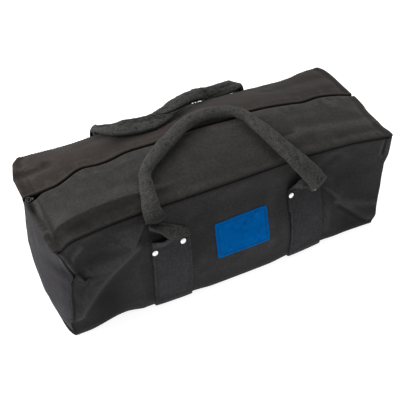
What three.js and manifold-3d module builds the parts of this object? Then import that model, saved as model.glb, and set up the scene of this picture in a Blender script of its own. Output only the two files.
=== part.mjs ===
// Canvas tool bag: a closed, zipped box bag of black canvas with two webbing
// handles. Millimetres, +Z up, +X along the bag, -Y the front. The origin is
// on the underside of the base, at the middle of the bag.

import * as THREE from 'three';
import { mergeVertices } from 'three/addons/utils/BufferGeometryUtils.js';
import Module from 'manifold-3d';

const wasm = await Module();
wasm.setup();

// ---------------------------------------------------------------- sizes
const LENGTH = 450;         // end seam to end seam
const CANVAS = 2;           // cloth wall
const GAP = 0.4;            // between sewn layers
const EDGE_R = 6;           // roundness of the long bottom edges
const LAP = 3;              // how far a top panel laps over a face
const HEM = 5.5;            // depth of the folded edges beside the zip
const ZIP_GAP = 3.6;        // between those edges
const FLANGE = 6;           // seam edge that stands out at each end
const INSET = 6.5;            // end panel's rim, in from the outer surface
const AXIS_Z = 80;          // height the end rims are drawn in towards
const WEB_W = 50;           // webbing
const WEB_T = 2.4;
const STRAP_X = { left: -92, right: 105 };
const RIVET_SHIFT = { left: -4, right: -4.2 };   // rivets sit off the bands' middle
// Rows down a face, as shares of its height from the top seam.
const ROW = { edge: 0.022, rivet: 0.38, tuck: 0.53, stepTop: 0.58, stepFoot: 0.66 };
const BAND_END = { left: 0.29, right: 0.325 };
const RIVET_ROW = { left: [0.383, 0.371], right: [0.366, 0.366] };
const RIVET_PITCH = 38;
const RIVET_HEAD = 7.6;
const RIVET_SHANK = 3.6;
const LABEL = { left: -30, right: 46, low: 53, high: 104, thick: 1 };
const STRAP_LIFT = 2.9;     // the base rises over the bands
const TAPE_W = 26;

// Cross-sections along the bag. Distances are out from the centre line.
// Front: bottom edge, two heights on the face and the top seam. Rear: bottom
// edge, top seam and how far the face swells between them. ridge: height of
// the zip; crown: how early the top panels turn over.
const SECTIONS = [
  { x: -225, toeF: 97, lowF: 92.5, highF: 89, seamF: 90, seamFz: 148.5, toeR: 91, seamR: 89, seamRz: 148, bellyR: 3, ridge: 161, crown: 2.4 },
  { x: -215, toeF: 97.3, lowF: 93.2, highF: 89, seamF: 89, seamFz: 154.8, toeR: 91, seamR: 89, seamRz: 147.2, bellyR: 4, ridge: 163.4, crown: 2.4 },
  { x: -203, toeF: 97.5, lowF: 94, highF: 89, seamF: 88, seamFz: 157, toeR: 91, seamR: 89, seamRz: 146.5, bellyR: 5, ridge: 166, crown: 2.4 },
  { x: -160, toeF: 94, lowF: 94, highF: 91, seamF: 84, seamFz: 158, toeR: 91, seamR: 89, seamRz: 144, bellyR: 6, ridge: 175, crown: 2.2 },
  { x: -105, toeF: 97, lowF: 95.5, highF: 91, seamF: 81.5, seamFz: 158, toeR: 92, seamR: 89, seamRz: 148, bellyR: 8, ridge: 183, crown: 2 },
  { x: -51, toeF: 98, lowF: 98.5, highF: 88, seamF: 80, seamFz: 157, toeR: 92, seamR: 89, seamRz: 152.5, bellyR: 9, ridge: 186, crown: 1.8 },
  { x: 5, toeF: 98, lowF: 99.5, highF: 86, seamF: 79, seamFz: 157, toeR: 92, seamR: 89, seamRz: 152.5, bellyR: 9, ridge: 188, crown: 1.8 },
  { x: 50, toeF: 97.5, lowF: 98.5, highF: 84, seamF: 78, seamFz: 157, toeR: 92, seamR: 89, seamRz: 151, bellyR: 9, ridge: 188, crown: 1.8 },
  { x: 92, toeF: 96, lowF: 92.5, highF: 76, seamF: 77, seamFz: 157, toeR: 92, seamR: 89, seamRz: 149.5, bellyR: 8, ridge: 186, crown: 1.8 },
  { x: 130, toeF: 93.5, lowF: 88.5, highF: 75, seamF: 78, seamFz: 156, toeR: 92, seamR: 89, seamRz: 148, bellyR: 7, ridge: 182, crown: 1.8 },
  { x: 172, toeF: 91.5, lowF: 86.5, highF: 79, seamF: 81, seamFz: 156, toeR: 91, seamR: 89, seamRz: 147, bellyR: 5, ridge: 177, crown: 1.9 },
  { x: 198, toeF: 92, lowF: 88, highF: 83.5, seamF: 85.5, seamFz: 155.7, toeR: 91, seamR: 89, seamRz: 151.5, bellyR: 4, ridge: 171.5, crown: 2.2 },
  { x: 225, toeF: 93, lowF: 89.5, highF: 89, seamF: 90.5, seamFz: 155.5, toeR: 91, seamR: 89, seamRz: 153, bellyR: 3, ridge: 164, crown: 2.7 },
];
const FACE_AT = { toe: 0, low: 0.3, high: 0.64, seam: 1 };

// Sideways wave of the zip.
const ZIP_WAVE = [
  { x: -240, y: -2 }, { x: -229, y: -2.2 }, { x: -216, y: -0.4 }, { x: -199, y: -1.6 }, { x: -185, y: 1.5 }, { x: -171, y: 6 },
  { x: -161, y: 6.4 }, { x: -145, y: 1 }, { x: -129, y: -0.8 }, { x: -108, y: 1.4 }, { x: -88, y: 0.2 }, { x: -66, y: -1.2 },
  { x: -14, y: 1.5 }, { x: 40, y: -2 }, { x: 66, y: 2 }, { x: 124, y: -1 }, { x: 142, y: -3 }, { x: 171, y: 1.5 },
  { x: 240, y: 0 },
];

// Folds. A ridge (out > 0) or valley (out < 0) along a line, with its spread,
// the spread on its other side where that differs, and the line's bow.
// On the faces the line is in x and z, on the top panels in x and y.
const FOLDS = {
  front: [
    { x0: -142, v0: 119, x1: -219, v1: 43, out: 10, spread: 27, other: 11, bow: -6 },
    { x0: -212, v0: 112, x1: -190, v1: 128, out: -3, spread: 24 },
    { x0: 160, v0: 68, x1: 222, v1: 8, out: 4.2, spread: 9, other: 22 },
    { x0: -40, v0: 128, x1: 40, v1: 122, out: -2, spread: 16 },
  ],
  rear: [
    { x0: -150, v0: 100, x1: -216, v1: 36, out: 5, spread: 20 },
    { x0: 150, v0: 96, x1: 214, v1: 30, out: 4, spread: 20 },
    { x0: -30, v0: 120, x1: 60, v1: 112, out: -3, spread: 18 },
  ],
  topFront: [
    { x0: -224, v0: -68, x1: -122, v1: -66, out: 5.5, spread: 12, other: 30, bow: 3 },
    { x0: 110, v0: -52, x1: 216, v1: -64, out: 3, spread: 24, other: 11 },
  ],
  topRear: [
    { x0: -236, v0: 47, x1: -200, v1: 46, out: -4, spread: 9 },
    { x0: 120, v0: 52, x1: 205, v1: 60, out: -2.5, spread: 14 },
  ],
};

// How far the end seams leave the plain end line: over the top and along the
// base by y, down the front and up the rear by z; and the dent in the front
// left corner by z.
const END_LINES = {
  left: {
    top: [
      { at: -104, out: 6 }, { at: -97, out: 7.5 }, { at: -80, out: 11.4 }, { at: -61, out: 13.4 }, { at: -37, out: 15 }, { at: 0, out: 15 },
      { at: 42, out: 14.8 }, { at: 53, out: 12.8 }, { at: 65, out: 9.5 }, { at: 77, out: 6 }, { at: 85, out: 0 }, { at: 93, out: -5 },
    ],
    front: [
      { at: 0, out: -1 }, { at: 8, out: 1.7 }, { at: 25.5, out: 3.8 }, { at: 45, out: 1.5 }, { at: 67, out: -2.2 }, { at: 80, out: -3.4 },
      { at: 88, out: -5 }, { at: 119, out: -4 }, { at: 134, out: -0.8 }, { at: 145, out: 3.5 }, { at: 150, out: 6.4 }, { at: 158, out: 7.5 },
    ],
    base: [
      { at: -104, out: -5 }, { at: -98, out: -1 }, { at: -85, out: 5 }, { at: -60, out: 8 }, { at: -20, out: 10 }, { at: 40, out: 5 },
      { at: 92, out: 1 },
    ],
    rear: [
      { at: 0, out: 1 }, { at: 40, out: 2 }, { at: 100, out: -2 }, { at: 140, out: -5 }, { at: 152, out: -5 },
    ],
  },
  right: {
    top: [
      { at: -104, out: 2.5 }, { at: -91, out: 2.5 }, { at: -84, out: 0.5 }, { at: -75, out: -3 }, { at: -67, out: -3.6 }, { at: -55, out: -2.8 },
      { at: -42, out: -2.6 }, { at: -34, out: -1.5 }, { at: -26, out: 0.4 }, { at: -10, out: 1.4 }, { at: 2, out: 0.6 }, { at: 18, out: 0.6 },
      { at: 34, out: 0.9 }, { at: 50, out: 2.2 }, { at: 66, out: 2.7 }, { at: 77, out: 2.4 }, { at: 85, out: 0.6 }, { at: 93, out: -4 },
    ],
    front: [
      { at: 0, out: -8 }, { at: 6, out: -6.5 }, { at: 13, out: -4.6 }, { at: 21, out: -3.4 }, { at: 32, out: -2.6 }, { at: 45, out: -1.6 },
      { at: 58, out: -0.2 }, { at: 70, out: 0.4 }, { at: 85, out: -0.3 }, { at: 100, out: -0.9 }, { at: 110, out: -1.4 }, { at: 117, out: 0.4 },
      { at: 125, out: 2.3 }, { at: 140, out: 2.5 }, { at: 158, out: 2.5 },
    ],
    base: [
      { at: -104, out: -8 }, { at: -95, out: -7 }, { at: -85, out: -3 }, { at: -60, out: 3 }, { at: 10, out: 6 }, { at: 60, out: 3 },
      { at: 92, out: 0 },
    ],
    rear: [
      { at: 0, out: 0 }, { at: 60, out: 0 }, { at: 120, out: 1 }, { at: 146, out: -1 }, { at: 158, out: -4 },
    ],
  },
};
const DENT = [
  { at: 60, out: 0 }, { at: 74, out: 0 }, { at: 80, out: -1.5 }, { at: 90, out: -1.8 }, { at: 93, out: -2.4 }, { at: 97, out: -6 },
  { at: 105, out: -4 }, { at: 118, out: -1 }, { at: 134, out: 0 }, { at: 156, out: 0 },
];
// Places where an end panel lies in or out of its plain bulge.
const END_SOFT = {
  left: [{ y: 70, z: 84, out: -7, spreadY: 32, spreadZ: 34 }, { y: -25, z: 16, out: -2, spreadY: 40, spreadZ: 22 }, { y: 5, z: 134, out: -11, spreadY: 45, spreadZ: 18 }],
  right: [],
};
// How far the end panels swell; low: under 1 puts the swell further down.
const END_BULGE = { left: { out: 9, low: 0.6 }, right: { out: 11, low: 0.7 } };

// Handles from left to right. roll: 0 flat webbing, 1 rolled to a grip that is
// wide and thick across. lean: how far its broad side turns up towards the top.
const HANDLES = {
  front: [
    { x: -92, y: -90.8, z: 118.6, roll: 0, wide: 21, lean: 3, thick: 13 },
    { x: -92.6, y: -93.2, z: 124, roll: 0.06, wide: 21, lean: 5, thick: 13 },
    { x: -97, y: -97.5, z: 132.5, roll: 0.4, wide: 21, lean: 10, thick: 13 },
    { x: -105, y: -98.5, z: 142, roll: 0.8, wide: 22, lean: 20, thick: 13 },
    { x: -111, y: -97, z: 152, roll: 1, wide: 23.5, lean: 32, thick: 13 },
    { x: -113, y: -93.2, z: 163.5, roll: 1, wide: 24, lean: 40, thick: 12.5 },
    { x: -112.7, y: -87.5, z: 172.5, roll: 1, wide: 22, lean: 48, thick: 13 },
    { x: -111, y: -77, z: 179, roll: 1, wide: 19.5, lean: 56, thick: 13 },
    { x: -108, y: -63.5, z: 184, roll: 1, wide: 17, lean: 62, thick: 13 },
    { x: -102.5, y: -49.5, z: 188.2, roll: 1, wide: 15, lean: 66, thick: 12.5 },
    { x: -91, y: -38.5, z: 191, roll: 1, wide: 16, lean: 68, thick: 13 },
    { x: -77.3, y: -29, z: 194, roll: 1, wide: 17.5, lean: 70, thick: 13 },
    { x: -64, y: -21, z: 196, roll: 1, wide: 18, lean: 72, thick: 13 },
    { x: -47.5, y: -11, z: 198, roll: 1, wide: 18.3, lean: 74, thick: 13 },
    { x: -29, y: 0, z: 199, roll: 1, wide: 17.5, lean: 76, thick: 13 },
    { x: -12, y: 6, z: 200, roll: 1, wide: 17, lean: 78, thick: 13 },
    { x: 4.4, y: 7.3, z: 200, roll: 1, wide: 17, lean: 78, thick: 13 },
    { x: 18.6, y: 5, z: 200, roll: 1, wide: 16.4, lean: 78, thick: 13 },
    { x: 33, y: 0.5, z: 199.5, roll: 1, wide: 15, lean: 76, thick: 13 },
    { x: 43.5, y: -8.5, z: 199, roll: 1, wide: 14.5, lean: 74, thick: 13 },
    { x: 50, y: -18.5, z: 197.5, roll: 1, wide: 14.5, lean: 70, thick: 13 },
    { x: 53.5, y: -30, z: 195, roll: 1, wide: 16, lean: 66, thick: 13 },
    { x: 58.5, y: -41.4, z: 192, roll: 1, wide: 18.5, lean: 63, thick: 13 },
    { x: 64, y: -53.5, z: 187.5, roll: 1, wide: 19.2, lean: 60, thick: 13 },
    { x: 70, y: -66.5, z: 181.5, roll: 1, wide: 19.5, lean: 54, thick: 13 },
    { x: 76.5, y: -78.5, z: 175.5, roll: 1, wide: 21, lean: 46, thick: 13 },
    { x: 83, y: -89, z: 168, roll: 1, wide: 22.5, lean: 36, thick: 12 },
    { x: 93, y: -94.5, z: 155.5, roll: 1, wide: 24, lean: 26, thick: 11 },
    { x: 104.5, y: -95.5, z: 140, roll: 1, wide: 25, lean: 18, thick: 10 },
    { x: 112, y: -92.5, z: 127.5, roll: 0.82, wide: 24, lean: 10, thick: 10 },
    { x: 110, y: -86.5, z: 119.5, roll: 0.36, wide: 23, lean: 4, thick: 10 },
  ],
  rear: [
    { x: -92, y: 98.8, z: 118, roll: 0, wide: 17, lean: 3, thick: 13 },
    { x: -93, y: 101, z: 123, roll: 0.05, wide: 17, lean: 5, thick: 13 },
    { x: -97.5, y: 104.5, z: 129.5, roll: 0.3, wide: 19, lean: 10, thick: 14 },
    { x: -103.5, y: 107, z: 135, roll: 0.55, wide: 20, lean: 20, thick: 15 },
    { x: -108, y: 106.5, z: 139, roll: 0.72, wide: 17, lean: 34, thick: 12 },
    { x: -111.5, y: 102.5, z: 146, roll: 0.9, wide: 14, lean: 50, thick: 9 },
    { x: -113.5, y: 93.2, z: 156.5, roll: 1, wide: 14, lean: 64, thick: 8.5 },
    { x: -113.5, y: 79, z: 167.4, roll: 1, wide: 17, lean: 76, thick: 9 },
    { x: -112, y: 65.5, z: 175, roll: 1, wide: 19.5, lean: 86, thick: 9.5 },
    { x: -107, y: 53.6, z: 182, roll: 1, wide: 22, lean: 92, thick: 10 },
    { x: -99, y: 45, z: 186, roll: 1, wide: 25, lean: 94, thick: 10 },
    { x: -88, y: 41, z: 187.5, roll: 1, wide: 26, lean: 96, thick: 10 },
    { x: -71.5, y: 37, z: 188, roll: 1, wide: 26, lean: 97, thick: 10 },
    { x: -53, y: 38, z: 187.5, roll: 1, wide: 25, lean: 98, thick: 10 },
    { x: -34.7, y: 44, z: 188.5, roll: 1, wide: 23, lean: 100, thick: 10 },
    { x: -19.3, y: 53, z: 188.5, roll: 1, wide: 21, lean: 103, thick: 10 },
    { x: -3, y: 64.5, z: 184.6, roll: 1, wide: 19.5, lean: 107, thick: 10 },
    { x: 11, y: 75.5, z: 178, roll: 1, wide: 18.5, lean: 112, thick: 10 },
    { x: 27, y: 87.4, z: 169.4, roll: 1, wide: 19.3, lean: 117, thick: 9.5 },
    { x: 38, y: 96.8, z: 162.4, roll: 1, wide: 19.4, lean: 123, thick: 9.5 },
    { x: 48.5, y: 100.9, z: 156.6, roll: 1, wide: 19.4, lean: 129, thick: 9.2 },
    { x: 64.5, y: 101.3, z: 155.3, roll: 1, wide: 19.8, lean: 131, thick: 8.8 },
    { x: 79, y: 101.5, z: 155.2, roll: 1, wide: 20, lean: 131, thick: 8.8 },
    { x: 91, y: 103, z: 155.4, roll: 1, wide: 20, lean: 114, thick: 9 },
    { x: 98, y: 104.4, z: 153, roll: 1, wide: 20, lean: 82, thick: 10 },
    { x: 102, y: 105, z: 149.5, roll: 1, wide: 17, lean: 40, thick: 11 },
    { x: 106, y: 107.5, z: 138, roll: 0.92, wide: 17, lean: 16, thick: 13 },
    { x: 106.5, y: 105.5, z: 129, roll: 0.5, wide: 17, lean: 8, thick: 13 },
    { x: 105.4, y: 99, z: 121, roll: 0.1, wide: 17, lean: 4, thick: 13 },
  ],
};

const CLOTH = { front: 0x1b1918, top: 0x242322, rear: 0x232020, end: 0x1d1e21, web: 0x262626, zip: 0x0d0d0e, steel: 0xc4c6c8, patch: 0x1d4f91 };

// ------------------------------------------------------------ small maths
const lerp = (a, b, t) => a + (b - a) * t;
const bell = (d, s) => Math.exp(-(d * d) / (s * s));
const smooth = (a, b, v) => { const t = Math.min(1, Math.max(0, (v - a) / (b - a))); return t * t * (3 - 2 * t); };
const vec = (x, y, z) => new THREE.Vector3(x, y, z);

// A smooth curve through one column of a table.
function column(table, by, key, at) {
  const n = table.length;
  let i = 0;
  while (i < n - 2 && at > table[i + 1][by]) i++;
  const slope = (k) => {
    const a = Math.max(0, k - 1), b = Math.min(n - 1, k + 1);
    return (table[b][key] - table[a][key]) / (table[b][by] - table[a][by]);
  };
  const p = table[i], q = table[i + 1], h = q[by] - p[by];
  const t = Math.min(1, Math.max(0, (at - p[by]) / h)), t2 = t * t, t3 = t2 * t;
  return (2 * t3 - 3 * t2 + 1) * p[key] + (t3 - 2 * t2 + t) * h * slope(i)
    + (3 * t2 - 2 * t3) * q[key] + (t3 - t2) * h * slope(i + 1);
}
const section = (x, key) => column(SECTIONS, 'x', key, x);
const zipY = (x) => column(ZIP_WAVE, 'x', 'y', x);
const zipGap = (x) => ZIP_GAP + 7 * bell(x + 230, 9);

function folds(list, x, v) {
  let sum = 0;
  for (const f of list) {
    const dx = f.x1 - f.x0, dv = f.v1 - f.v0, long = Math.hypot(dx, dv);
    const run = ((x - f.x0) * dx + (v - f.v0) * dv) / long, t = Math.min(1, Math.max(0, run / long));
    const across = (dx * (v - f.v0) - dv * (x - f.x0)) / long - (f.bow ?? 0) * 4 * t * (1 - t);
    const spread = lerp(f.spread, f.other ?? f.spread, smooth(-2, 2, across));
    sum += f.out * bell(Math.hypot(across, run - t * long), spread);
  }
  return sum;
}

// -------------------------------------------------------- the bag's surface
// How far the base stands off the floor.
function lift(x, y) {
  let up = 6 * bell(x + 157, x < -157 ? 36 : 20) * bell(y + 91, 34);
  for (const sx of Object.values(STRAP_X)) up = Math.max(up, STRAP_LIFT * (1 - smooth(WEB_W / 2 + 1, WEB_W / 2 + 15, Math.abs(x - sx))));
  return up;
}

// A face at height fraction t above the bottom edge. side -1 front, +1 rear.
function facePoint(x, t, side) {
  const s = side < 0 ? 'F' : 'R';
  const toe = section(x, 'toe' + s), seam = section(x, 'seam' + s), top = section(x, `seam${s}z`);
  const low = EDGE_R + lift(x, side * toe);
  const z = lerp(low, top, t);
  const edge = smooth(0, 0.12, t) * smooth(0, 0.1, 1 - t);
  const plain = side < 0
    ? column(Object.entries(FACE_AT).map(([name, at]) => ({ at, out: section(x, name + s) })), 'at', 'out', t)
    : lerp(toe, seam, t) + section(x, 'bellyR') * 4 * t * (1 - t);
  return vec(x, side * (plain + edge * folds(side < 0 ? FOLDS.front : FOLDS.rear, x, z)), z);
}
function heightToT(x, z, side) {
  const s = side < 0 ? 'F' : 'R';
  const low = EDGE_R + lift(x, side * section(x, 'toe' + s));
  return (z - low) / (section(x, `seam${s}z`) - low);
}

// The main panel: s 0..1 down the front, ..1.2 round the edge, ..1.8 along the
// base, ..2 round the rear edge, ..3 up the rear.
function mainPoint(x, s) {
  if (s <= 1) return facePoint(x, 1 - s, -1);
  if (s >= 2) return facePoint(x, s - 2, 1);
  const front = section(x, 'toeF'), rear = section(x, 'toeR');
  if (s < 1.2 || s > 1.8) {
    const side = s < 1.2 ? -1 : 1, toe = side < 0 ? front : rear;
    const a = (side < 0 ? (s - 1) / 0.2 : (2 - s) / 0.2) * Math.PI / 2;
    const y = side * (toe - EDGE_R + EDGE_R * Math.cos(a));
    return vec(x, y, EDGE_R * (1 - Math.sin(a)) + lift(x, side * toe));
  }
  const k = (s - 1.2) / 0.6, y = lerp(-(front - EDGE_R), rear - EDGE_R, k);
  return vec(x, y, k < 0.5 ? lerp(lift(x, -front), lift(x, y), smooth(0, 0.12, k)) : lerp(lift(x, rear), lift(x, y), smooth(0, 0.12, 1 - k)));
}
function mainNormal(x, s) {
  const dx = mainPoint(x + 0.5, s).sub(mainPoint(x - 0.5, s));
  const ds = mainPoint(x, Math.min(3, s + 0.004)).sub(mainPoint(x, Math.max(0, s - 0.004)));
  return ds.cross(dx).normalize();
}
const onMain = (x, s, off) => mainPoint(x, s).addScaledVector(mainNormal(x, s), off);

// A top panel: w 0 at the long seam, 1 at the zip. side -1 front, +1 rear.
const OVER = GAP + CANVAS + 0.3;
function topPoint(x, w, side) {
  const s = side < 0 ? 'F' : 'R';
  const y0 = side * (section(x, 'seam' + s) + OVER), z0 = section(x, `seam${s}z`) + 3;
  const y1 = zipY(x) + side * zipGap(x) / 2;
  const y = lerp(y0, y1, w);
  const rise = 1 - Math.pow(1 - w, section(x, 'crown'));
  const edge = smooth(0, 0.1, w) * smooth(0, 0.15, 1 - w);
  return vec(x, y, lerp(z0, section(x, 'ridge'), rise) + edge * folds(side < 0 ? FOLDS.topFront : FOLDS.topRear, x, y));
}

// End of a row of cloth: the end line at that place.
function endX(which, y, z) {
  const line = END_LINES[which], at = (list, v) => column(list, 'at', 'out', v);
  let out = lerp(at(y < 0 ? line.front : line.rear, z), at(line.top, y), smooth(146, 152, z));
  if (Math.abs(y) < 97) out = lerp(out, at(line.base, y), 1 - smooth(2, 10, z));
  if (which === 'left') out += at(DENT, z) * bell(Math.max(0, y + 90), 24);
  return (which === 'left' ? -1 : 1) * (LENGTH / 2 + out);
}
// Point of a row at plain x: near the ends the row follows the end line.
const STRAIGHT = 150;
function along(row, x) {
  const end = row(Math.sign(x) * LENGTH / 2), k = smooth(STRAIGHT, LENGTH / 2, Math.abs(x));
  return k > 0 ? row(x + k * (endX(x < 0 ? 'left' : 'right', end.y, end.z) - Math.sign(x) * LENGTH / 2)) : row(x);
}

// ----------------------------------------------------------- mesh helpers
function toGeometry(points, triangles) {
  const volume = triangles.reduce((sum, [a, b, c]) => sum + points[a].dot(points[b].clone().cross(points[c])), 0);
  const faces = volume < 0 ? triangles.map(([a, b, c]) => [a, c, b]) : triangles;
  const g = new THREE.BufferGeometry();
  g.setAttribute('position', new THREE.Float32BufferAttribute(points.flatMap((p) => [p.x, p.y, p.z]), 3));
  g.setIndex(faces.flat());
  return g;
}

// A cloth wall: a grid of points is its outer side, and the inner side lies
// one thickness in. flip turns the outer side over.
function shell(grid, thickness, flip = 1) {
  const nu = grid.length, nv = grid[0].length, points = grid.flat(), id = (i, j) => i * nv + j;
  const tangent = (i, j, di, dj) => {
    const a = grid[Math.max(0, i - di)][Math.max(0, j - dj)], b = grid[Math.min(nu - 1, i + di)][Math.min(nv - 1, j + dj)];
    return b.clone().sub(a).normalize();
  };
  const inner = [];
  for (let i = 0; i < nu; i++) for (let j = 0; j < nv; j++) {
    const n = tangent(i, j, 0, 1).cross(tangent(i, j, 1, 0)).normalize().multiplyScalar(flip);
    inner.push(grid[i][j].clone().addScaledVector(n, -thickness));
  }
  const tris = [], count = points.length;
  const quad = (a, b, c, d) => tris.push([a, b, c], [a, c, d]);
  for (let i = 0; i < nu - 1; i++) for (let j = 0; j < nv - 1; j++) {
    quad(id(i, j), id(i, j + 1), id(i + 1, j + 1), id(i + 1, j));
    quad(count + id(i, j), count + id(i + 1, j), count + id(i + 1, j + 1), count + id(i, j + 1));
  }
  const rim = [];
  for (let j = 0; j < nv - 1; j++) rim.push([id(0, j), id(0, j + 1)]);
  for (let i = 0; i < nu - 1; i++) rim.push([id(i, nv - 1), id(i + 1, nv - 1)]);
  for (let j = nv - 1; j > 0; j--) rim.push([id(nu - 1, j), id(nu - 1, j - 1)]);
  for (let i = nu - 1; i > 0; i--) rim.push([id(i, 0), id(i - 1, 0)]);
  for (const [a, b] of rim) quad(b, a, count + a, count + b);
  return toGeometry([...points, ...inner], tris);
}

// A closed body through rings of equally many points.
function loft(rings) {
  const n = rings[0].length, points = rings.flat(), tris = [];
  for (let k = 0; k < rings.length - 1; k++) for (let i = 0; i < n; i++) {
    const a = k * n + i, b = k * n + (i + 1) % n;
    tris.push([a, b, b + n], [a, b + n, a + n]);
  }
  const half = n / 2;
  for (const [k, up] of [[0, false], [rings.length - 1, true]]) for (let i = 0; i < half - 1; i++) {
    const o = k * n, a = o + i, b = o + i + 1, c = o + n - 2 - i, d = o + n - 1 - i;
    if (up) tris.push([a, b, c], [a, c, d]); else tris.push([a, c, b], [a, d, c]);
  }
  return toGeometry(points, tris);
}

function toSolid(geometry) {
  const g = geometry.clone();
  for (const name of Object.keys(g.attributes)) if (name !== 'position') g.deleteAttribute(name);
  const m = mergeVertices(g, 1e-4);
  return new wasm.Manifold(new wasm.Mesh({ numProp: 3, vertProperties: new Float32Array(m.attributes.position.array), triVerts: new Uint32Array(m.index.array) }));
}
function fromSolid(solid) {
  const m = solid.getMesh(), g = new THREE.BufferGeometry();
  g.setAttribute('position', new THREE.Float32BufferAttribute(m.vertProperties, 3));
  g.setIndex(Array.from(m.triVerts));
  return g;
}
const cutAway = (geometry, tools) => fromSolid(tools.reduce((body, tool) => body.subtract(toSolid(tool)), toSolid(geometry)));
const joined = (list) => fromSolid(list.slice(1).reduce((body, g) => body.add(toSolid(g)), toSolid(list[0])));

const bag = new THREE.Group();
bag.name = 'canvas_tool_bag';
function add(name, geometry, colour, roughness = 0.92, metalness = 0) {
  const g = geometry.index ? geometry.toNonIndexed() : geometry;
  g.computeVertexNormals();
  const mesh = new THREE.Mesh(g, new THREE.MeshStandardMaterial({ color: colour, roughness, metalness }));
  mesh.name = name;
  bag.add(mesh);
}

// ------------------------------------------------------------ canvas panels
const steps = (a, b, n) => Array.from({ length: n + 1 }, (_, i) => lerp(a, b, i / n));
const BAND = [-25, -12.5, 0, 12.5, 25];
const COLUMNS = [
  ...steps(-LENGTH / 2, -146, 6), ...[-40, -26, ...BAND.slice(1, 4), 26, 40].map((d) => STRAP_X.left + d),
  ...steps(STRAP_X.left + 40, STRAP_X.right - 40, 4).slice(1, 4),
  ...[-40, -26, ...BAND.slice(1, 4), 26, 40].map((d) => STRAP_X.right + d), ...steps(160, LENGTH / 2, 5),
];

const FACE_ROWS = [ROW.edge, 0.1, 0.2, BAND_END.left, BAND_END.right, ROW.rivet, 0.455, ROW.tuck, ROW.stepTop, ROW.stepFoot, 0.76, 0.88, 1];
const bandRows = (name) => FACE_ROWS.filter((s) => s >= BAND_END[name]);
const rowsRound = (rows, across) => [...rows, 1.0667, 1.1333, ...steps(1.2, 1.8, across), 1.8667, 1.9333, ...rows.slice().reverse().map((s) => 3 - s)];
const MAIN_ROWS = rowsRound(FACE_ROWS, 4);
const mainGrid = COLUMNS.map((x0) => MAIN_ROWS.map((s) => along((x) => mainPoint(x, s), x0)));

// Rows of a top panel: lap, turn over the seam, panel, turn down at the zip.
function topRows(side) {
  const face = (x, down) => { const top = section(x, side < 0 ? 'seamFz' : 'seamRz'); const p = facePoint(x, heightToT(x, top - down, side), side); p.y += side * OVER; return p; };
  const corner = (x) => topPoint(x, 0, side);
  const bend = (a, b, c) => a.clone().multiplyScalar(0.25).addScaledVector(b, 0.5).addScaledVector(c, 0.25);
  const edge = (x, down) => { const p = topPoint(x, 1, side); p.z -= down; return p; };
  return [
    (x) => face(x, LAP), (x) => face(x, 0.6),
    (x) => bend(face(x, 0.6), corner(x), topPoint(x, 0.05, side)),
    ...[0.05, 0.15, 0.27, 0.4, 0.55, 0.7, 0.84, 0.955].map((w) => (x) => topPoint(x, w, side)),
    (x) => bend(topPoint(x, 0.955, side), edge(x, 0), edge(x, 3.4)),
    (x) => edge(x, 3.4), (x) => edge(x, HEM),
  ];
}
const TOP_COLUMNS = [...steps(-LENGTH / 2, -146, 8), ...steps(-130, 150, 11), ...steps(165, LENGTH / 2, 4)];
const topGrid = (side) => { const rows = topRows(side); return TOP_COLUMNS.map((x0) => rows.map((row) => along(row, x0))); };

// End panels: a shallow dish whose rim turns outwards along the other panels.
function endPanel(which) {
  const sign = which === 'left' ? -1 : 1, n = 9;
  const sides = {
    front: (x, k) => mainPoint(x, lerp(1.1, 0.03, k)),
    rear: (x, k) => mainPoint(x, lerp(1.9, 2.97, k)),
    base: (x, k) => mainPoint(x, lerp(1.1, 1.9, k)),
    top: (x, k) => (k < 0.5 ? topPoint(x, lerp(0.02, 1, k * 2), -1) : topPoint(x, lerp(1, 0.02, k * 2 - 1), 1)),
  };
  const drawnIn = (p) => {
    const dip = p.z > 120 ? 7 * bell(p.y, 13) : 0;
    return vec(p.x, p.y * (91 - INSET) / 91, AXIS_Z + (p.z - AXIS_Z) * (AXIS_Z - INSET) / AXIS_Z - dip);
  };
  const rim = (side, k, back) => {
    const at = sides[side](sign * LENGTH / 2, k);
    const p = sides[side](endX(which, at.y, at.z), k);
    return drawnIn(p).add(vec(-sign * back, 0, 0));
  };
  const patch = (a, b, back) => {
    const A = rim('front', b, back), B = rim('rear', b, back), C = rim('base', a, back), D = rim('top', a, back);
    const c00 = rim('front', 0, back), c01 = rim('front', 1, back), c10 = rim('rear', 0, back), c11 = rim('rear', 1, back);
    return A.multiplyScalar(1 - a).addScaledVector(B, a).addScaledVector(C, 1 - b).addScaledVector(D, b)
      .addScaledVector(c00, -(1 - a) * (1 - b)).addScaledVector(c10, -a * (1 - b)).addScaledVector(c01, -(1 - a) * b).addScaledVector(c11, -a * b);
  };
  const at = [0, ...steps(0, 1, n), 1];
  const grid = at.map((a, i) => at.map((b, j) => {
    const outer = i === 0 || j === 0 || i === at.length - 1 || j === at.length - 1;
    const p = patch(a, b, outer ? 0 : FLANGE);
    if (outer) return p;
    const swell = Math.pow(Math.sin(Math.PI * a), 0.75) * Math.pow(Math.sin(Math.PI * Math.pow(b, END_BULGE[which].low)), 0.75);
    const lie = END_SOFT[which].reduce((sum, e) => sum + e.out * bell(p.y - e.y, e.spreadY) * bell(p.z - e.z, e.spreadZ), 0);
    p.x += sign * (END_BULGE[which].out * swell + lie * Math.min(1, swell * 1.6));
    return p;
  }));
  return shell(grid, CANVAS, sign < 0 ? 1 : -1);
}

// -------------------------------------------------------------- webbing
// s of a row that lies down the front or down the rear.
const rowS = (row, side) => (side < 0 ? row : 3 - row);

function strap(name) {
  const grid = BAND.map((dx) => rowsRound(bandRows(name), 4).map((s) => {
    const row = s < 1.5 ? s : 3 - s;
    const off = GAP + (WEB_T + GAP) * smooth(ROW.stepFoot, ROW.stepTop, row);
    return onMain(STRAP_X[name] + dx, s, off + WEB_T);
  }));
  return shell(grid, WEB_T, 1);
}

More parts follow.
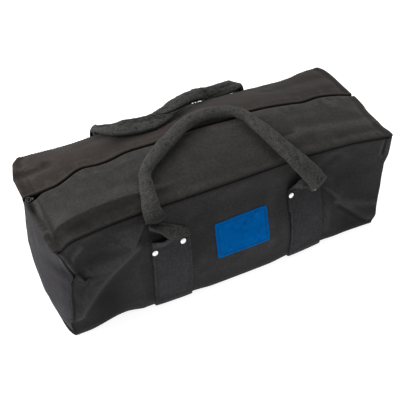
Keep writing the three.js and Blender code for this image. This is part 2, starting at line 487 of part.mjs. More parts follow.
const ACROSS = BAND.map((d) => d / 25);
const FLAT_RING = [...ACROSS.map((k) => ({ w: k, t: 1 })), ...ACROSS.slice().reverse().map((k) => ({ w: k, t: -1 }))];
const GRIP_RING = FLAT_RING.map((_, i) => { const a = (162 - 36 * i) * Math.PI / 180; return { w: Math.cos(a) / Math.cos(Math.PI / 10), t: Math.sin(a) / Math.cos(Math.PI / 20) }; });

function handle(name, side) {
  const flatEnd = (strapName, rows, dir) => rows.map((row) => FLAT_RING.map(({ w, t }) => onMain(STRAP_X[strapName] + dir * w * WEB_W / 2, rowS(row, side), GAP + (t > 0 ? WEB_T : 0))));
  const low = (strapName) => [ROW.tuck, 0.455, ROW.rivet, ...FACE_ROWS.filter((s) => s >= BAND_END[strapName] && s < ROW.rivet).reverse(), BAND_END[strapName] - 0.02];
  const stations = HANDLES[name].map((row) => ({ ...row, run: 0 }));
  for (let i = 1; i < stations.length; i++) {
    const a = stations[i - 1], b = stations[i];
    b.run = a.run + Math.hypot(b.x - a.x, b.y - a.y, b.z - a.z);
  }
  const length = stations[stations.length - 1].run, get = (key, r) => column(stations, 'run', key, r);
  const place = (r) => vec(get('x', r), get('y', r), get('z', r));
  const count = Math.round(length / 10.5);
  const middle = steps(0, length, count).map((r) => {
    const c = place(r), T = place(Math.min(length, r + 1)).sub(place(Math.max(0, r - 1))).normalize();
    const lean = get('lean', r) * Math.PI / 180, f = Math.min(1, Math.max(0, get('roll', r)));
    const N = vec(0, side * Math.cos(lean), Math.sin(lean));
    const W = side < 0 ? T.clone().cross(N).normalize() : N.clone().cross(T).normalize();
    N.copy(side < 0 ? W.clone().cross(T) : T.clone().cross(W)).normalize();
    const hw = lerp(WEB_W / 2, get('wide', r) / 2, f), ht = lerp(WEB_T / 2, get('thick', r) / 2, f);
    return FLAT_RING.map((p, i) => c.clone()
      .addScaledVector(W, lerp(p.w, GRIP_RING[i].w, f) * hw)
      .addScaledVector(N, lerp(p.t, GRIP_RING[i].t, f) * ht));
  });
  return loft([...flatEnd('left', low('left'), 1), ...middle, ...flatEnd('right', low('right').reverse(), -1)]);
}

// --------------------------------------------------------------- rivets
const rivetSpots = (side) => Object.keys(STRAP_X).flatMap((name) => [-1, 1].map((k, i) => {
  const x = STRAP_X[name] + RIVET_SHIFT[name] + k * RIVET_PITCH / 2, s = rowS(RIVET_ROW[name][i], side);
  return { at: mainPoint(x, s), out: mainNormal(x, s) };
}));
const FACE_OFF = 2 * (GAP + WEB_T) + 0.6;   // underside of the head
function rivet() {
  const r = RIVET_HEAD / 2, s = RIVET_SHANK / 2, back = -(CANVAS + 0.45);
  const profile = [[0, back - 1.3], [3.7, back - 1.3], [3.7, back], [s, back], [s, FACE_OFF], [r, FACE_OFF], [r, FACE_OFF + 0.7], [r * 0.72, FACE_OFF + 1.2], [0, FACE_OFF + 1.6]];
  return new THREE.LatheGeometry(profile.map(([x, y]) => new THREE.Vector2(x, y)), 10);
}
function placed(geometry, spot) {
  const g = geometry.clone();
  g.applyQuaternion(new THREE.Quaternion().setFromUnitVectors(vec(0, 1, 0), spot.out));
  return g.translate(spot.at.x, spot.at.y, spot.at.z);
}
const allSpots = { front: rivetSpots(-1), rear: rivetSpots(1) };
const drills = [...allSpots.front, ...allSpots.rear].map((spot) => placed(new THREE.CylinderGeometry(RIVET_SHANK / 2 + 0.35, RIVET_SHANK / 2 + 0.35, 30, 8), spot));

// -------------------------------------------------------------------- zip
function zip() {
  const top = -(HEM + 0.6), tape = TAPE_W / 2, chain = 1;
  const outline = [[-tape, top - 1], [-tape, top], [-chain, top], [-chain, -2.4], [chain, -2.4], [chain, top], [tape, top], [tape, top - 1]];
  const ZIP_COLUMNS = [...steps(-221, -146, 10), ...steps(-130, 150, 11), ...steps(165, 212, 3)];
  return loft(ZIP_COLUMNS.map((x) => outline.map(([dy, dz]) => vec(x, zipY(x) + dy, section(x, 'ridge') + dz))));
}
function zipSlider() {
  const x = -224, z = section(x, 'ridge');
  const shape = new THREE.Shape();
  shape.moveTo(-6, -2.6); shape.lineTo(4, -3.4); shape.lineTo(6, -1.5); shape.lineTo(6, 1.5); shape.lineTo(4, 3.4); shape.lineTo(-6, 2.6); shape.closePath();
  const body = new THREE.ExtrudeGeometry(shape, { depth: 3, bevelEnabled: false });
  body.translate(x - 4, zipY(x), z - 2);
  const ring = new THREE.TorusGeometry(3.2, 1, 6, 12);
  ring.rotateX(0.5).translate(x - 12, zipY(x), z + 0.4);
  return joined([body, ring]);
}

// ---------------------------------------------------------------- assembly
add('main_panel', cutAway(shell(mainGrid, CANVAS, 1), drills), CLOTH.front);
add('top_panel_front', shell(topGrid(-1), CANVAS, -1), CLOTH.top);
add('top_panel_rear', shell(topGrid(1), CANVAS, 1), CLOTH.rear);
add('end_panel_left', endPanel('left'), CLOTH.end);
add('end_panel_right', endPanel('right'), CLOTH.end);
add('strap_left', cutAway(strap('left'), drills), CLOTH.web);
add('strap_right', cutAway(strap('right'), drills), CLOTH.web);
add('handle_front', cutAway(handle('front', -1), drills), CLOTH.web);
add('handle_rear', cutAway(handle('rear', 1), drills), CLOTH.web);
for (const [name, spots] of Object.entries(allSpots)) spots.forEach((spot, i) => add(`rivet_${name}_${i + 1}`, placed(rivet(), spot), CLOTH.steel, 0.3, 1));
add('zip', zip(), CLOTH.zip, 0.6);
add('zip_slider', zipSlider(), CLOTH.steel, 0.4, 1);

const labelGrid = steps(LABEL.left, LABEL.right, 5).map((x) => steps(LABEL.high, LABEL.low, 5).map((z) => onMain(x, 1 - heightToT(x, z, -1), GAP + LABEL.thick)));
add('label', shell(labelGrid, LABEL.thick, 1), CLOTH.patch, 0.7);

export default bag;
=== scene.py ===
import math

import bpy
import numpy as np
from mathutils import Matrix, Vector


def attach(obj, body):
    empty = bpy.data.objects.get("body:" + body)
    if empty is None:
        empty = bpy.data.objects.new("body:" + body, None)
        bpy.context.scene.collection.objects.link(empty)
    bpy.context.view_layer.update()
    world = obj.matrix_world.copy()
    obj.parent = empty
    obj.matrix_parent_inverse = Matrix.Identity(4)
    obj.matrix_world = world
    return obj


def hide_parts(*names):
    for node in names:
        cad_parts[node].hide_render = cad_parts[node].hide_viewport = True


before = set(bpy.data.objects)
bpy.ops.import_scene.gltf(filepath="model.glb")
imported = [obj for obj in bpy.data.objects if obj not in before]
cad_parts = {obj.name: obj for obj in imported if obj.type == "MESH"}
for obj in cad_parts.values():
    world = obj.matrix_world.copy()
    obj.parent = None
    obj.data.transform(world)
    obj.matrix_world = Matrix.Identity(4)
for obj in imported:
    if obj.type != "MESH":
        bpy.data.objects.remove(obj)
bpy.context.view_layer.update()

MM = 0.001

# ------------------------------------------------------------------ sizes, mm
LENGTH, CANVAS, GAP, EDGE_R, LAP, HEM, ZIP_GAP, FLANGE = 450.0, 2.0, 0.4, 6.0, 3.0, 5.5, 3.6, 3.0
WEB_W, WEB_T, GRIP_T = 50.0, 2.4, 13.0
STRAP_X = {"left": -92.0, "right": 105.0}
RIVET_SHIFT = {"left": -4.0, "right": -4.2}
RIVET_PITCH, RIVET_HEAD, RIVET_ROW = 38.0, 7.6, {"left": (0.383, 0.371), "right": (0.36, 0.386)}
BAND_END = {"left": 0.29, "right": 0.325}
TUCK = 0.53
LABEL = {"left": -30.0, "right": 46.0, "low": 53.0, "high": 104.0}
STRAP_LIFT = 2.9
OVER = 1.1          # how far the top panels' rolled edges stand over the faces
TAPE_W = 26.0

# Cross-sections along the bag, as in the CAD part.
SECTION_KEYS = "x toeF lowF highF seamF seamFz toeR seamR seamRz bellyR ridge crown".split()
SECTIONS = np.array([
    (-225, 97, 92.5, 89, 90, 148.5, 91, 89, 148, 3, 161, 2.4),
    (-215, 97.3, 93.2, 89, 89, 154.8, 91, 89, 147.2, 4, 163.4, 2.4),
    (-203, 97.5, 94, 89, 88, 157, 91, 89, 146.5, 5, 166, 2.4),
    (-160, 94, 94, 91, 84, 158, 91, 89, 144, 6, 175, 2.2),
    (-105, 97, 95.5, 91, 81.5, 158, 92, 89, 148, 8, 183, 2.0),
    (-51, 98, 98.5, 88, 80, 157, 92, 89, 152.5, 9, 186, 1.8),
    (5, 98, 99.5, 86, 79, 157, 92, 89, 152.5, 9, 188, 1.8),
    (50, 97.5, 98.5, 84, 78, 157, 92, 89, 151, 9, 188, 1.8),
    (92, 96, 92.5, 76, 77, 157, 92, 89, 149.5, 8, 186, 1.8),
    (130, 93.5, 88.5, 75, 78, 156, 92, 89, 148, 7, 182, 1.8),
    (172, 91.5, 86.5, 79, 81, 156, 91, 89, 147, 5, 177, 1.9),
    (198, 92, 88, 83.5, 85.5, 155.7, 91, 89, 151.5, 4, 171.5, 2.2),
    (225, 93, 89.5, 89, 90.5, 155.5, 91, 89, 153, 3, 164, 2.7),
], float)
FACE_AT = np.array([0.0, 0.3, 0.64, 1.0])
ZIP_WAVE = np.array([(-240, -2), (-229, -2.2), (-216, -0.4), (-199, -1.6), (-185, 1.5), (-171, 6), (-161, 6.4), (-145, 1), (-129, -0.8), (-108, 1.4), (-88, 0.2),
                     (-66, -1.2), (-14, 1.5), (40, -2), (66, 2), (124, -1), (142, -3), (171, 1.5), (240, 0)], float)
# Folds: x0, v0, x1, v1, out, spread, and the spread on the line's other side where it differs. Faces in x and z,
# top panels in x and y.
FOLDS = {
    "front": [(-142, 119, -219, 43, 10, 27, 11, -6), (-212, 112, -190, 128, -3, 24), (160, 68, 222, 8, 4.2, 9, 22), (160, 56, 213, 5, -1.3, 4),
              (-40, 128, 40, 122, -2, 16)],
    "rear": [(-150, 100, -216, 36, 5, 20), (150, 96, 214, 30, 4, 20), (-30, 120, 60, 112, -3, 18)],
    "topFront": [(-224, -68, -122, -66, 5.5, 12, 30, 3), (110, -52, 216, -64, 3, 24, 11)],
    "topRear": [(-236, 47, -200, 46, -4, 9), (120, 52, 205, 60, -2.5, 14)],
}
# Finer creases of the cloth, on top of the main folds.
CREASES = {
    "front": [(220, 152, 219, 128, -1.8, 2.2), (-128, 122, -190, 118, -1.6, 8), (-219, 120, -203, 140, 1.3, 6), (172, 60, 216, 44, 1.2, 7), (128, 116, 150, 138, -1.2, 9), (-60, 60, -58, 118, -0.7, 9),
              (60, 40, 66, 120, -0.8, 10), (140, 30, 146, 100, 0.9, 9), (-122, 20, -128, 80, -0.8, 8)],
    "rear": [(-150, 96, -205, 46, 1.4, 7), (150, 92, 208, 36, 1.4, 7), (-128, 118, -180, 122, -1.2, 9), (-20, 30, -10, 110, -0.8, 12), (60, 40, 52, 120, 0.7, 12)],
    "topFront": [(-140, -40, -96, -52, -0.8, 9), (70, -66, 118, -62, -1.1, 9), (160, -70, 214, -74, -1.0, 7), (180, -20, 215, -42, 0.9, 10)],
    "topRear": [(-232, 60, -205, 48, 1.0, 6), (-150, 58, -110, 62, -1.0, 9), (96, 70, 130, 74, -0.9, 8), (150, 24, 212, 34, 0.8, 10)],
}
# The end lines: how far they leave the plain ends, over the top (by y), down the front (by z), along the base (by y) and
# up the rear (by z); and the dent in the front left corner (by z).
END_LINES = {
    "left": {
        "top": np.array([(-104, 6), (-97, 7.5), (-80, 11.4), (-61, 13.4), (-37, 15), (0, 15), (42, 14.8), (53, 12.8), (65, 9.5), (77, 6), (85, 0), (93, -5)], float),
        "front": np.array([(0, -1), (8, 1.7), (25.5, 3.8), (45, 1.5), (67, -2.2), (80, -3.4), (88, -5), (119, -4), (134, -0.8), (145, 3.5), (150, 6.4), (158, 7.5)], float),
        "base": np.array([(-104, -5), (-98, -1), (-85, 5), (-60, 8), (-20, 10), (40, 5), (92, 1)], float),
        "rear": np.array([(0, 1), (40, 2), (100, -2), (140, -5), (152, -5)], float)},
    "right": {
        "top": np.array([(-104, 2.5), (-91, 2.5), (-84, 0.5), (-75, -3), (-67, -3.6), (-55, -2.8), (-42, -2.6), (-34, -1.5), (-26, 0.4), (-10, 1.4), (2, 0.6), (18, 0.6), (34, 0.9),
                         (50, 2.2), (66, 2.7), (77, 2.4), (85, 0.6), (93, -4)], float),
        "front": np.array([(0, -8), (6, -6.5), (13, -4.6), (21, -3.4), (32, -2.6), (45, -1.6), (58, -0.2), (70, 0.4), (85, -0.3), (100, -0.9), (110, -1.4), (117, 0.4), (125, 2.3), (140, 2.5), (158, 2.5)], float),
        "base": np.array([(-104, -8), (-95, -7), (-85, -3), (-60, 3), (10, 6), (60, 3), (92, 0)], float),
        "rear": np.array([(0, 0), (60, 0), (120, 1), (146, -1), (158, -4)], float)},
}
DENT = np.array([(60, 0), (74, 0), (80, -1.5), (90, -1.8), (93, -2.4), (97, -6), (105, -4), (118, -1), (134, 0), (156, 0)], float)
# In that corner the main panel's edge laps over itself: the upper part's end line by z, and the rows that turn back under it
# as plain height, height and how far out.
LIP = np.array([(79, -21), (81, -20), (91.6, -14.3), (105, -9), (118, -5), (134, -0.8), (145, 3.5), (150, 6.4), (158, 7.5)], float)
LAP_ROWS = np.array([(0, 0, 0), (62, 62, 0), (74, 80, 0.6), (84, 101, 0.8), (88, 90, 0), (92, 80, -2), (112, 108, -1.6), (134, 134, 0), (160, 160, 0)], float)
# Places where an end panel lies in or out of its plain bulge: y, z, out, spread in y, spread in z.
END_SOFT = {"left": [(70, 84, -7, 32, 34), (-25, 16, -2, 40, 22), (5, 134, -11, 45, 18)], "right": []}
END_BULGE = {"left": (9.0, 0.6), "right": (11.0, 0.7)}
# Handles from left to right: x, y, z, roll, wide, lean, thick, and where round the roll its edges meet.
HANDLES = {
    "front": np.array([
        (-111.8, -95.8, 158.5, 1, 24.5, 33, 12.3, 0), (-113, -93.2, 163.5, 1, 24, 40, 12.5, 0), (-112.7, -87.5, 172.5, 1, 22, 48, 13, 0),
        (-111, -77, 179, 1, 19.5, 56, 13, 0), (-108, -63.5, 184, 1, 17, 62, 13, 0), (-102.5, -49.5, 188.2, 1, 15, 66, 12.5, 0), (-91, -38.5, 191, 1, 16, 68, 13, 0),
        (-77.3, -29, 194, 1, 17.5, 70, 13, 0), (-64, -21, 196, 1, 18, 72, 13, 0), (-47.5, -11, 198, 1, 18.3, 74, 13, 0), (-29, 0, 199, 1, 17.5, 76, 13, 0),
        (-12, 6, 200, 1, 17, 78, 13, 0), (4.4, 7.3, 200, 1, 17, 78, 13, 0), (18.6, 5, 200, 1, 16.4, 78, 13, 0), (33, 0.5, 199.5, 1, 15, 76, 13, 0),
        (43.5, -8.5, 199, 1, 14.5, 74, 13, 0), (50, -18.5, 197.5, 1, 14.5, 70, 13, 0), (53.5, -30, 195, 1, 16, 66, 13, 0), (58.5, -41.4, 192, 1, 18.5, 63, 13, 0),
        (64, -53.5, 187.5, 1, 19.2, 60, 13, 0), (70, -66.5, 181.5, 1, 19.5, 54, 13, 0), (76.5, -78.5, 175.5, 1, 21, 46, 13, 0), (83, -89, 168, 1, 22.5, 36, 12, 0),
        (93, -94.5, 155.5, 1, 24, 26, 11, 0), (104.5, -95.5, 140, 1, 25, 18, 10, 0), (111.5, -95.6, 129, 1, 25.5, 12, 8.5, 0)], float),
    "rear": np.array([
        (-92, 98.8, 118, 0, 17, 3, 13, 0), (-93, 101, 123, 0.05, 17, 5, 13, 0), (-97.5, 104.5, 129.5, 0.3, 19, 10, 14, 0), (-103.5, 107, 135, 0.55, 20, 20, 15, 10),
        (-108, 106.5, 139, 0.72, 17, 34, 12, 35), (-111.5, 102.5, 146, 0.9, 14, 50, 9, 75), (-113.5, 93.2, 156.5, 1, 14, 64, 8.5, 120), (-113.5, 79, 167.4, 1, 17, 76, 9, 160),
        (-112, 65.5, 175, 1, 19.5, 86, 9.5, 195), (-107, 53.6, 182, 1, 22, 92, 10, 212), (-99, 45, 186, 1, 25, 94, 10, 216), (-88, 41, 187.5, 1, 26, 96, 10, 216),
        (-71.5, 37, 188, 1, 26, 97, 10, 213), (-53, 38, 187.5, 1, 25, 98, 10, 203), (-34.7, 44, 188.5, 1, 23, 100, 10, 155), (-19.3, 53, 188.5, 1, 21, 103, 10, 118),
        (-3, 64.5, 184.6, 1, 19.5, 107, 10, 97), (11, 75.5, 178, 1, 18.5, 112, 10, 87), (27, 87.4, 169.4, 1, 19.3, 117, 9.5, 82), (38, 96.8, 162.4, 1, 19.4, 123, 9.5, 80), (48.5, 100.9, 156.6, 1, 19.4, 129, 9.2, 79),
        (64.5, 101.3, 155.3, 1, 19.8, 131, 8.8, 78), (79, 101.5, 155.2, 1, 20, 131, 8.8, 74), (91, 103, 155.4, 1, 20, 114, 9, 64), (98, 104.4, 153, 1, 20, 82, 10, 44),
        (102, 105, 149.5, 1, 17, 40, 11, 18), (106, 107.5, 138, 0.92, 17, 16, 13, 0), (106.5, 105.5, 129, 0.5, 17, 8, 13, 0), (105.4, 99, 121, 0.1, 17, 4, 13, 0)], float),
}
# The front handle's feet, where the webbing gathers from flat into the roll: rows across it from the band upwards at the
# left and from the roll downwards at the right, each at five places from its left edge to its right edge as the roll runs.
LEFT_FOOT = np.array([
    [(-117, -90.4, 122), (-105, -91.4, 121), (-92, -92.5, 118.5), (-79.5, -93.5, 115), (-67.4, -93.6, 112)],
    [(-118, -91.4, 136), (-107, -93.5, 130), (-94.5, -97.5, 121.5), (-81, -98.8, 116), (-66.6, -95.6, 112.4)],
    [(-120, -98.6, 147), (-108.5, -102, 138.8), (-97, -102.5, 124), (-83, -101.5, 116.8), (-67.5, -97, 112.6)],
    [(-120, -95.5, 147.5), (-105.5, -89.8, 136), (-92, -88.9, 130.4), (-79, -88.4, 123.8), (-68.3, -89, 116)],
    [(-121, -95, 150), (-115.5, -90.6, 147), (-109, -89.6, 142), (-106, -88.8, 135.5), (-104, -88.2, 130)],
    [(-120, -91.5, 152), (-122.8, -96.8, 154), (-110.5, -100.5, 156.5), (-99, -96.5, 157.5), (-104, -89.8, 150)]], float)
RIGHT_FOOT = np.array([
    [(117.5, -92.8, 122), (126.2, -95.6, 128.4), (116, -98.4, 122.4), (105.4, -97, 113.6), (115, -92.6, 119.6)],
    [(119.5, -92.4, 122), (125, -93.4, 126.5), (115.6, -95.6, 120), (104.6, -94.4, 113.4), (111, -91.2, 120)],
    [(125, -91, 121), (122.5, -91.8, 119), (113.6, -92.3, 116.5), (102, -90.6, 117.5), (97, -88.4, 132)],
    [(127, -88.6, 115), (117.6, -89.2, 115), (106, -89, 114.6), (95, -88.4, 117), (87, -87.4, 125)]], float)


# -------------------------------------------------------------- small maths
def lerp(a, b, t):
    return a + (b - a) * t


def bell(d, s):
    return np.exp(-(np.asarray(d, float) / s) ** 2)


def smooth(a, b, v):
    t = np.clip((np.asarray(v, float) - a) / (b - a), 0, 1)
    return t * t * (3 - 2 * t)


def unit(v):
    return v / np.maximum(np.linalg.norm(v, axis=-1, keepdims=True), 1e-12)


def column(xs, vs, at):
    """A smooth curve through a table's column, the same as in the CAD part."""
    n, at = len(xs), np.asarray(at, float)
    slope = np.empty(n)
    slope[1:-1] = (vs[2:] - vs[:-2]) / (xs[2:] - xs[:-2])
    slope[0], slope[-1] = (vs[1] - vs[0]) / (xs[1] - xs[0]), (vs[-1] - vs[-2]) / (xs[-1] - xs[-2])
    i = np.searchsorted(xs[1:-1], at, side="left")
    h = xs[i + 1] - xs[i]
    t = np.clip((at - xs[i]) / h, 0, 1)
    t2, t3 = t * t, t * t * t
    return (2 * t3 - 3 * t2 + 1) * vs[i] + (t3 - 2 * t2 + t) * h * slope[i] + (3 * t2 - 2 * t3) * vs[i + 1] + (t3 - t2) * h * slope[i + 1]


def section(x, key):
    return column(SECTIONS[:, 0], SECTIONS[:, SECTION_KEYS.index(key)], x)


def noise(u, v, seed):
    """Smooth noise from -1 to 1 on a seeded lattice."""
    n = 64
    table = np.random.RandomState(seed).rand(n, n) * 2 - 1
    u, v = np.broadcast_arrays(np.asarray(u, float), np.asarray(v, float))
    i, j = np.floor(u).astype(int), np.floor(v).astype(int)
    a, b = u - i, v - j
    a, b = a * a * (3 - 2 * a), b * b * (3 - 2 * b)
    g = lambda p, q: table[(i + p) % n, (j + q) % n]
    return lerp(lerp(g(0, 0), g(1, 0), a), lerp(g(0, 1), g(1, 1), a), b)


def zip_y(x):
    return column(ZIP_WAVE[:, 0], ZIP_WAVE[:, 1], x)


def zip_gap(x):
    return ZIP_GAP + 7 * bell(np.asarray(x) + 230, 9)


def folds(rows, x, v):
    """Soft ridges along lines: x0, v0, x1, v1, out, spread, then if given the other side's spread and the line's bow."""
    total = 0
    for x0, v0, x1, v1, out, spread, *other in rows:
        dx, dv = x1 - x0, v1 - v0
        long = math.hypot(dx, dv)
        run = ((x - x0) * dx + (v - v0) * dv) / long
        t = np.clip(run / long, 0, 1)
        across = (dx * (v - v0) - dv * (x - x0)) / long
        if len(other) > 1:
            across = across - other[1] * 4 * t * (1 - t)
        if other:
            spread = lerp(spread, other[0], smooth(-2, 2, across))
        total = total + out * bell(np.hypot(across, run - t * long), spread)
    return total


# ------------------------------------------------------------ the bag's surface
def lift(x, y):
    up = 6 * bell(x + 157, np.where(np.asarray(x) < -157, 36, 20)) * bell(y + 91, 34)
    for sx in STRAP_X.values():
        up = np.maximum(up, STRAP_LIFT * (1 - smooth(WEB_W / 2 + 1, WEB_W / 2 + 32, np.abs(x - sx))))
    return up


def face_out(x, t, side):
    toe, seam = section(x, "toeF" if side < 0 else "toeR"), section(x, "seamF" if side < 0 else "seamR")
    if side > 0:
        return lerp(toe, seam, t) + section(x, "bellyR") * 4 * t * (1 - t)
    v = [toe, section(x, "lowF"), section(x, "highF"), seam]
    at = FACE_AT
    m = [(v[1] - v[0]) / (at[1] - at[0]), (v[2] - v[0]) / (at[2] - at[0]), (v[3] - v[1]) / (at[3] - at[1]), (v[3] - v[2]) / (at[3] - at[2])]
    out = np.zeros(np.broadcast(x, t).shape)
    for k in range(3):
        h = at[k + 1] - at[k]
        q = np.clip((t - at[k]) / h, 0, 1)
        q2, q3 = q * q, q * q * q
        val = (2 * q3 - 3 * q2 + 1) * v[k] + (q3 - 2 * q2 + q) * h * m[k] + (3 * q2 - 2 * q3) * v[k + 1] + (q3 - q2) * h * m[k + 1]
        pick = (t >= at[k]) if k else np.ones(out.shape, bool)
        out = np.where(pick, val, out)
    return out


def face(x, t, side):
    """y and z of a face at height share t."""
    x, t = np.broadcast_arrays(np.asarray(x, float), np.asarray(t, float))
    toe, top = section(x, "toeF" if side < 0 else "toeR"), section(x, "seamFz" if side < 0 else "seamRz")
    low = EDGE_R + lift(x, side * toe)
    z = lerp(low, top, t)
    name = "front" if side < 0 else "rear"
    edge = smooth(0, 0.12, t) * smooth(0, 0.1, 1 - t)
    soft = 0.75 * noise(x / 46 + 9, z / 38 + 5, 3 + side) + 0.3 * noise(x / 17, z / 15, 7 + side)
    out = face_out(x, t, side) + edge * (folds(FOLDS[name], x, z) + folds(CREASES[name], x, z) + soft)
    return side * out, z


def height_to_t(x, z, side):
    toe, top = section(x, "toeF" if side < 0 else "toeR"), section(x, "seamFz" if side < 0 else "seamRz")
    low = EDGE_R + lift(x, side * toe)
    return (z - low) / (top - low)


def main_point(x, s):
    """The main panel: s 0..1 down the front, ..1.2 edge, ..1.8 base, ..2 edge, ..3 up the rear."""
    x, s = np.broadcast_arrays(np.asarray(x, float), np.asarray(s, float))
    front, rear = section(x, "toeF"), section(x, "toeR")
    yf, zf = face(x, np.clip(1 - s, 0, 1), -1)
    yr, zr = face(x, np.clip(s - 2, 0, 1), 1)
    lf, lr = lift(x, -front), lift(x, rear)
    a = np.clip((s - 1) / 0.2, 0, 1) * math.pi / 2
    b = np.clip((2 - s) / 0.2, 0, 1) * math.pi / 2
    k = np.clip((s - 1.2) / 0.6, 0, 1)
    yb = lerp(-(front - EDGE_R), rear - EDGE_R, k)
    lb = lift(x, yb)
    zb = np.where(k < 0.5, lerp(lf, lb, smooth(0, 0.12, k)), lerp(lr, lb, smooth(0, 0.12, 1 - k)))
    y = np.where(s <= 1, yf, np.where(s < 1.2, -(front - EDGE_R + EDGE_R * np.cos(a)), np.where(s <= 1.8, yb, np.where(s < 2, rear - EDGE_R + EDGE_R * np.cos(b), yr))))
    z = np.where(s <= 1, zf, np.where(s < 1.2, EDGE_R * (1 - np.sin(a)) + lf, np.where(s <= 1.8, zb, np.where(s < 2, EDGE_R * (1 - np.sin(b)) + lr, zr))))
    return np.stack([x, y, z], -1)


def main_normal(x, s):
    dx = main_point(x + 0.5, s) - main_point(x - 0.5, s)
    ds = main_point(x, np.minimum(3, s + 0.004)) - main_point(x, np.maximum(0, s - 0.004))
    return unit(np.cross(ds, dx))


def on_main(x, s, off):
    x, s, off = np.broadcast_arrays(np.asarray(x, float), np.asarray(s, float), np.asarray(off, float))
    return main_point(x, s) + main_normal(x, s) * off[..., None]


def top_point(x, w, side):
    """A top panel: w 0 at the long seam, 1 at the zip."""
    x, w = np.broadcast_arrays(np.asarray(x, float), np.asarray(w, float))
    y0 = side * (section(x, "seamF" if side < 0 else "seamR") + OVER)
    z0 = section(x, "seamFz" if side < 0 else "seamRz") + 3
    y = lerp(y0, zip_y(x) + side * zip_gap(x) / 2, w)
    rise = 1 - (1 - np.clip(w, 0, 1)) ** section(x, "crown")
    edge = smooth(0, 0.1, w) * smooth(0, 0.15, 1 - w)
    name = "topFront" if side < 0 else "topRear"
    soft = 0.7 * noise(x / 44 + 3, y / 36 + 8, 21 + side) + 0.28 * noise(x / 16, y / 14, 25 + side)
    z = lerp(z0, section(x, "ridge"), rise) + edge * (folds(FOLDS[name], x, y) + folds(CREASES[name], x, y) + soft)
    return np.stack([x, y, z], -1)


def pinch(y, z):
    """The dent in the front left corner: it deepens slowly from above and stops short below."""
    return column(*DENT.T, z) * bell(np.maximum(0, np.asarray(y) + 90), 24)


def end_x(which, y, z, dent=True):
    y, z = np.asarray(y, float), np.asarray(z, float)
    line = END_LINES[which]
    side = np.where(y < 0, column(*line["front"].T, z), column(*line["rear"].T, z))
    out = lerp(side, column(*line["top"].T, y), smooth(146, 152, z))
    out = lerp(out, column(*line["base"].T, y), smooth(10, 2, z) * (np.abs(y) < 97))
    out = LENGTH / 2 + out + (pinch(y, z) if dent and which == "left" else 0)
    return -out if which == "left" else out


def along(row, x):
    """A row of cloth at plain x: near the ends it follows the end line."""
    x = np.asarray(x, float)
    new = x.copy()
    for which, sign in (("left", -1), ("right", 1)):
        e = row(np.array([sign * LENGTH / 2]))[0]
        shift = float(end_x(which, e[1], e[2])) - sign * LENGTH / 2
        new = new + np.where(x * sign > 0, smooth(150, LENGTH / 2, np.abs(x)), 0) * shift
    return row(new)


# --------------------------------------------------------------- mesh building
scene = bpy.context.scene
made = {}


def new_object(name, verts, faces, uv=None, tone=None, material=None, smooth_shade=True):
    """verts n x 3 in mm; faces: list of int arrays (m x k); uv and tone one row per vertex."""
    me = bpy.data.meshes.new(name)
    verts = np.asarray(verts, float) * MM
    loops = np.concatenate([f.ravel() for f in faces]).astype(np.int32)
    counts = np.concatenate([np.full(len(f), f.shape[1]) for f in faces])
    starts = np.concatenate([[0], np.cumsum(counts)[:-1]]).astype(np.int32)
    me.vertices.add(len(verts))
    me.vertices.foreach_set("co", verts.astype(np.float32).ravel())
    me.loops.add(len(loops))
    me.loops.foreach_set("vertex_index", loops)
    me.polygons.add(len(counts))
    me.polygons.foreach_set("loop_start", starts)
    if uv is not None:
        layer = me.uv_layers.new(name="Cloth")
        layer.data.foreach_set("uv", (np.asarray(uv, float) * MM)[loops].astype(np.float32).ravel())
    if tone is not None:
        att = me.color_attributes.new("tone", "FLOAT_COLOR", "POINT")
        rgba = np.ones((len(verts), 4), np.float32)
        rgba[:, : tone.shape[1]] = tone
        att.data.foreach_set("color", rgba.ravel())
    me.update(calc_edges=True)
    me.validate()
    if smooth_shade:
        me.polygons.foreach_set("use_smooth", np.ones(len(me.polygons), bool))
    o = bpy.data.objects.new(name, me)
    scene.collection.objects.link(o)
    if material:
        me.materials.append(material)
    made[name] = o
    return o


def grid_faces(nu, nv, start=0, flip=False):
    a = (np.arange(nu - 1)[:, None] * nv + np.arange(nv - 1)[None, :]).ravel() + start
    q = np.stack([a, a + 1, a + nv + 1, a + nv], 1)
    return q[:, ::-1] if flip else q


def grid_normals(g):
    du, dv = np.gradient(g, axis=0), np.gradient(g, axis=1)
    return unit(np.cross(dv, du))


def relief(g, n, span=3):
    """Bending of a grid of points: positive on ridges, negative in valleys, smoothed."""
    lap = np.zeros(g.shape[:2])
    for axis in (0, 1):
        ahead, behind = np.roll(g, -span, axis), np.roll(g, span, axis)
        chord = np.linalg.norm(ahead - behind, axis=-1) / 2 + 1e-6
        bend = ((g - (ahead + behind) / 2) * n).sum(-1) / chord ** 2
        idx = [slice(None)] * 2
        for sl in (slice(0, span), slice(-span, None)):
            idx[axis] = sl
            bend[tuple(idx)] = 0
            idx[axis] = slice(None)
        lap += bend
    return lap


def arc(points):
    return np.concatenate([[0], np.cumsum(np.linalg.norm(np.diff(points, axis=0), axis=1))])


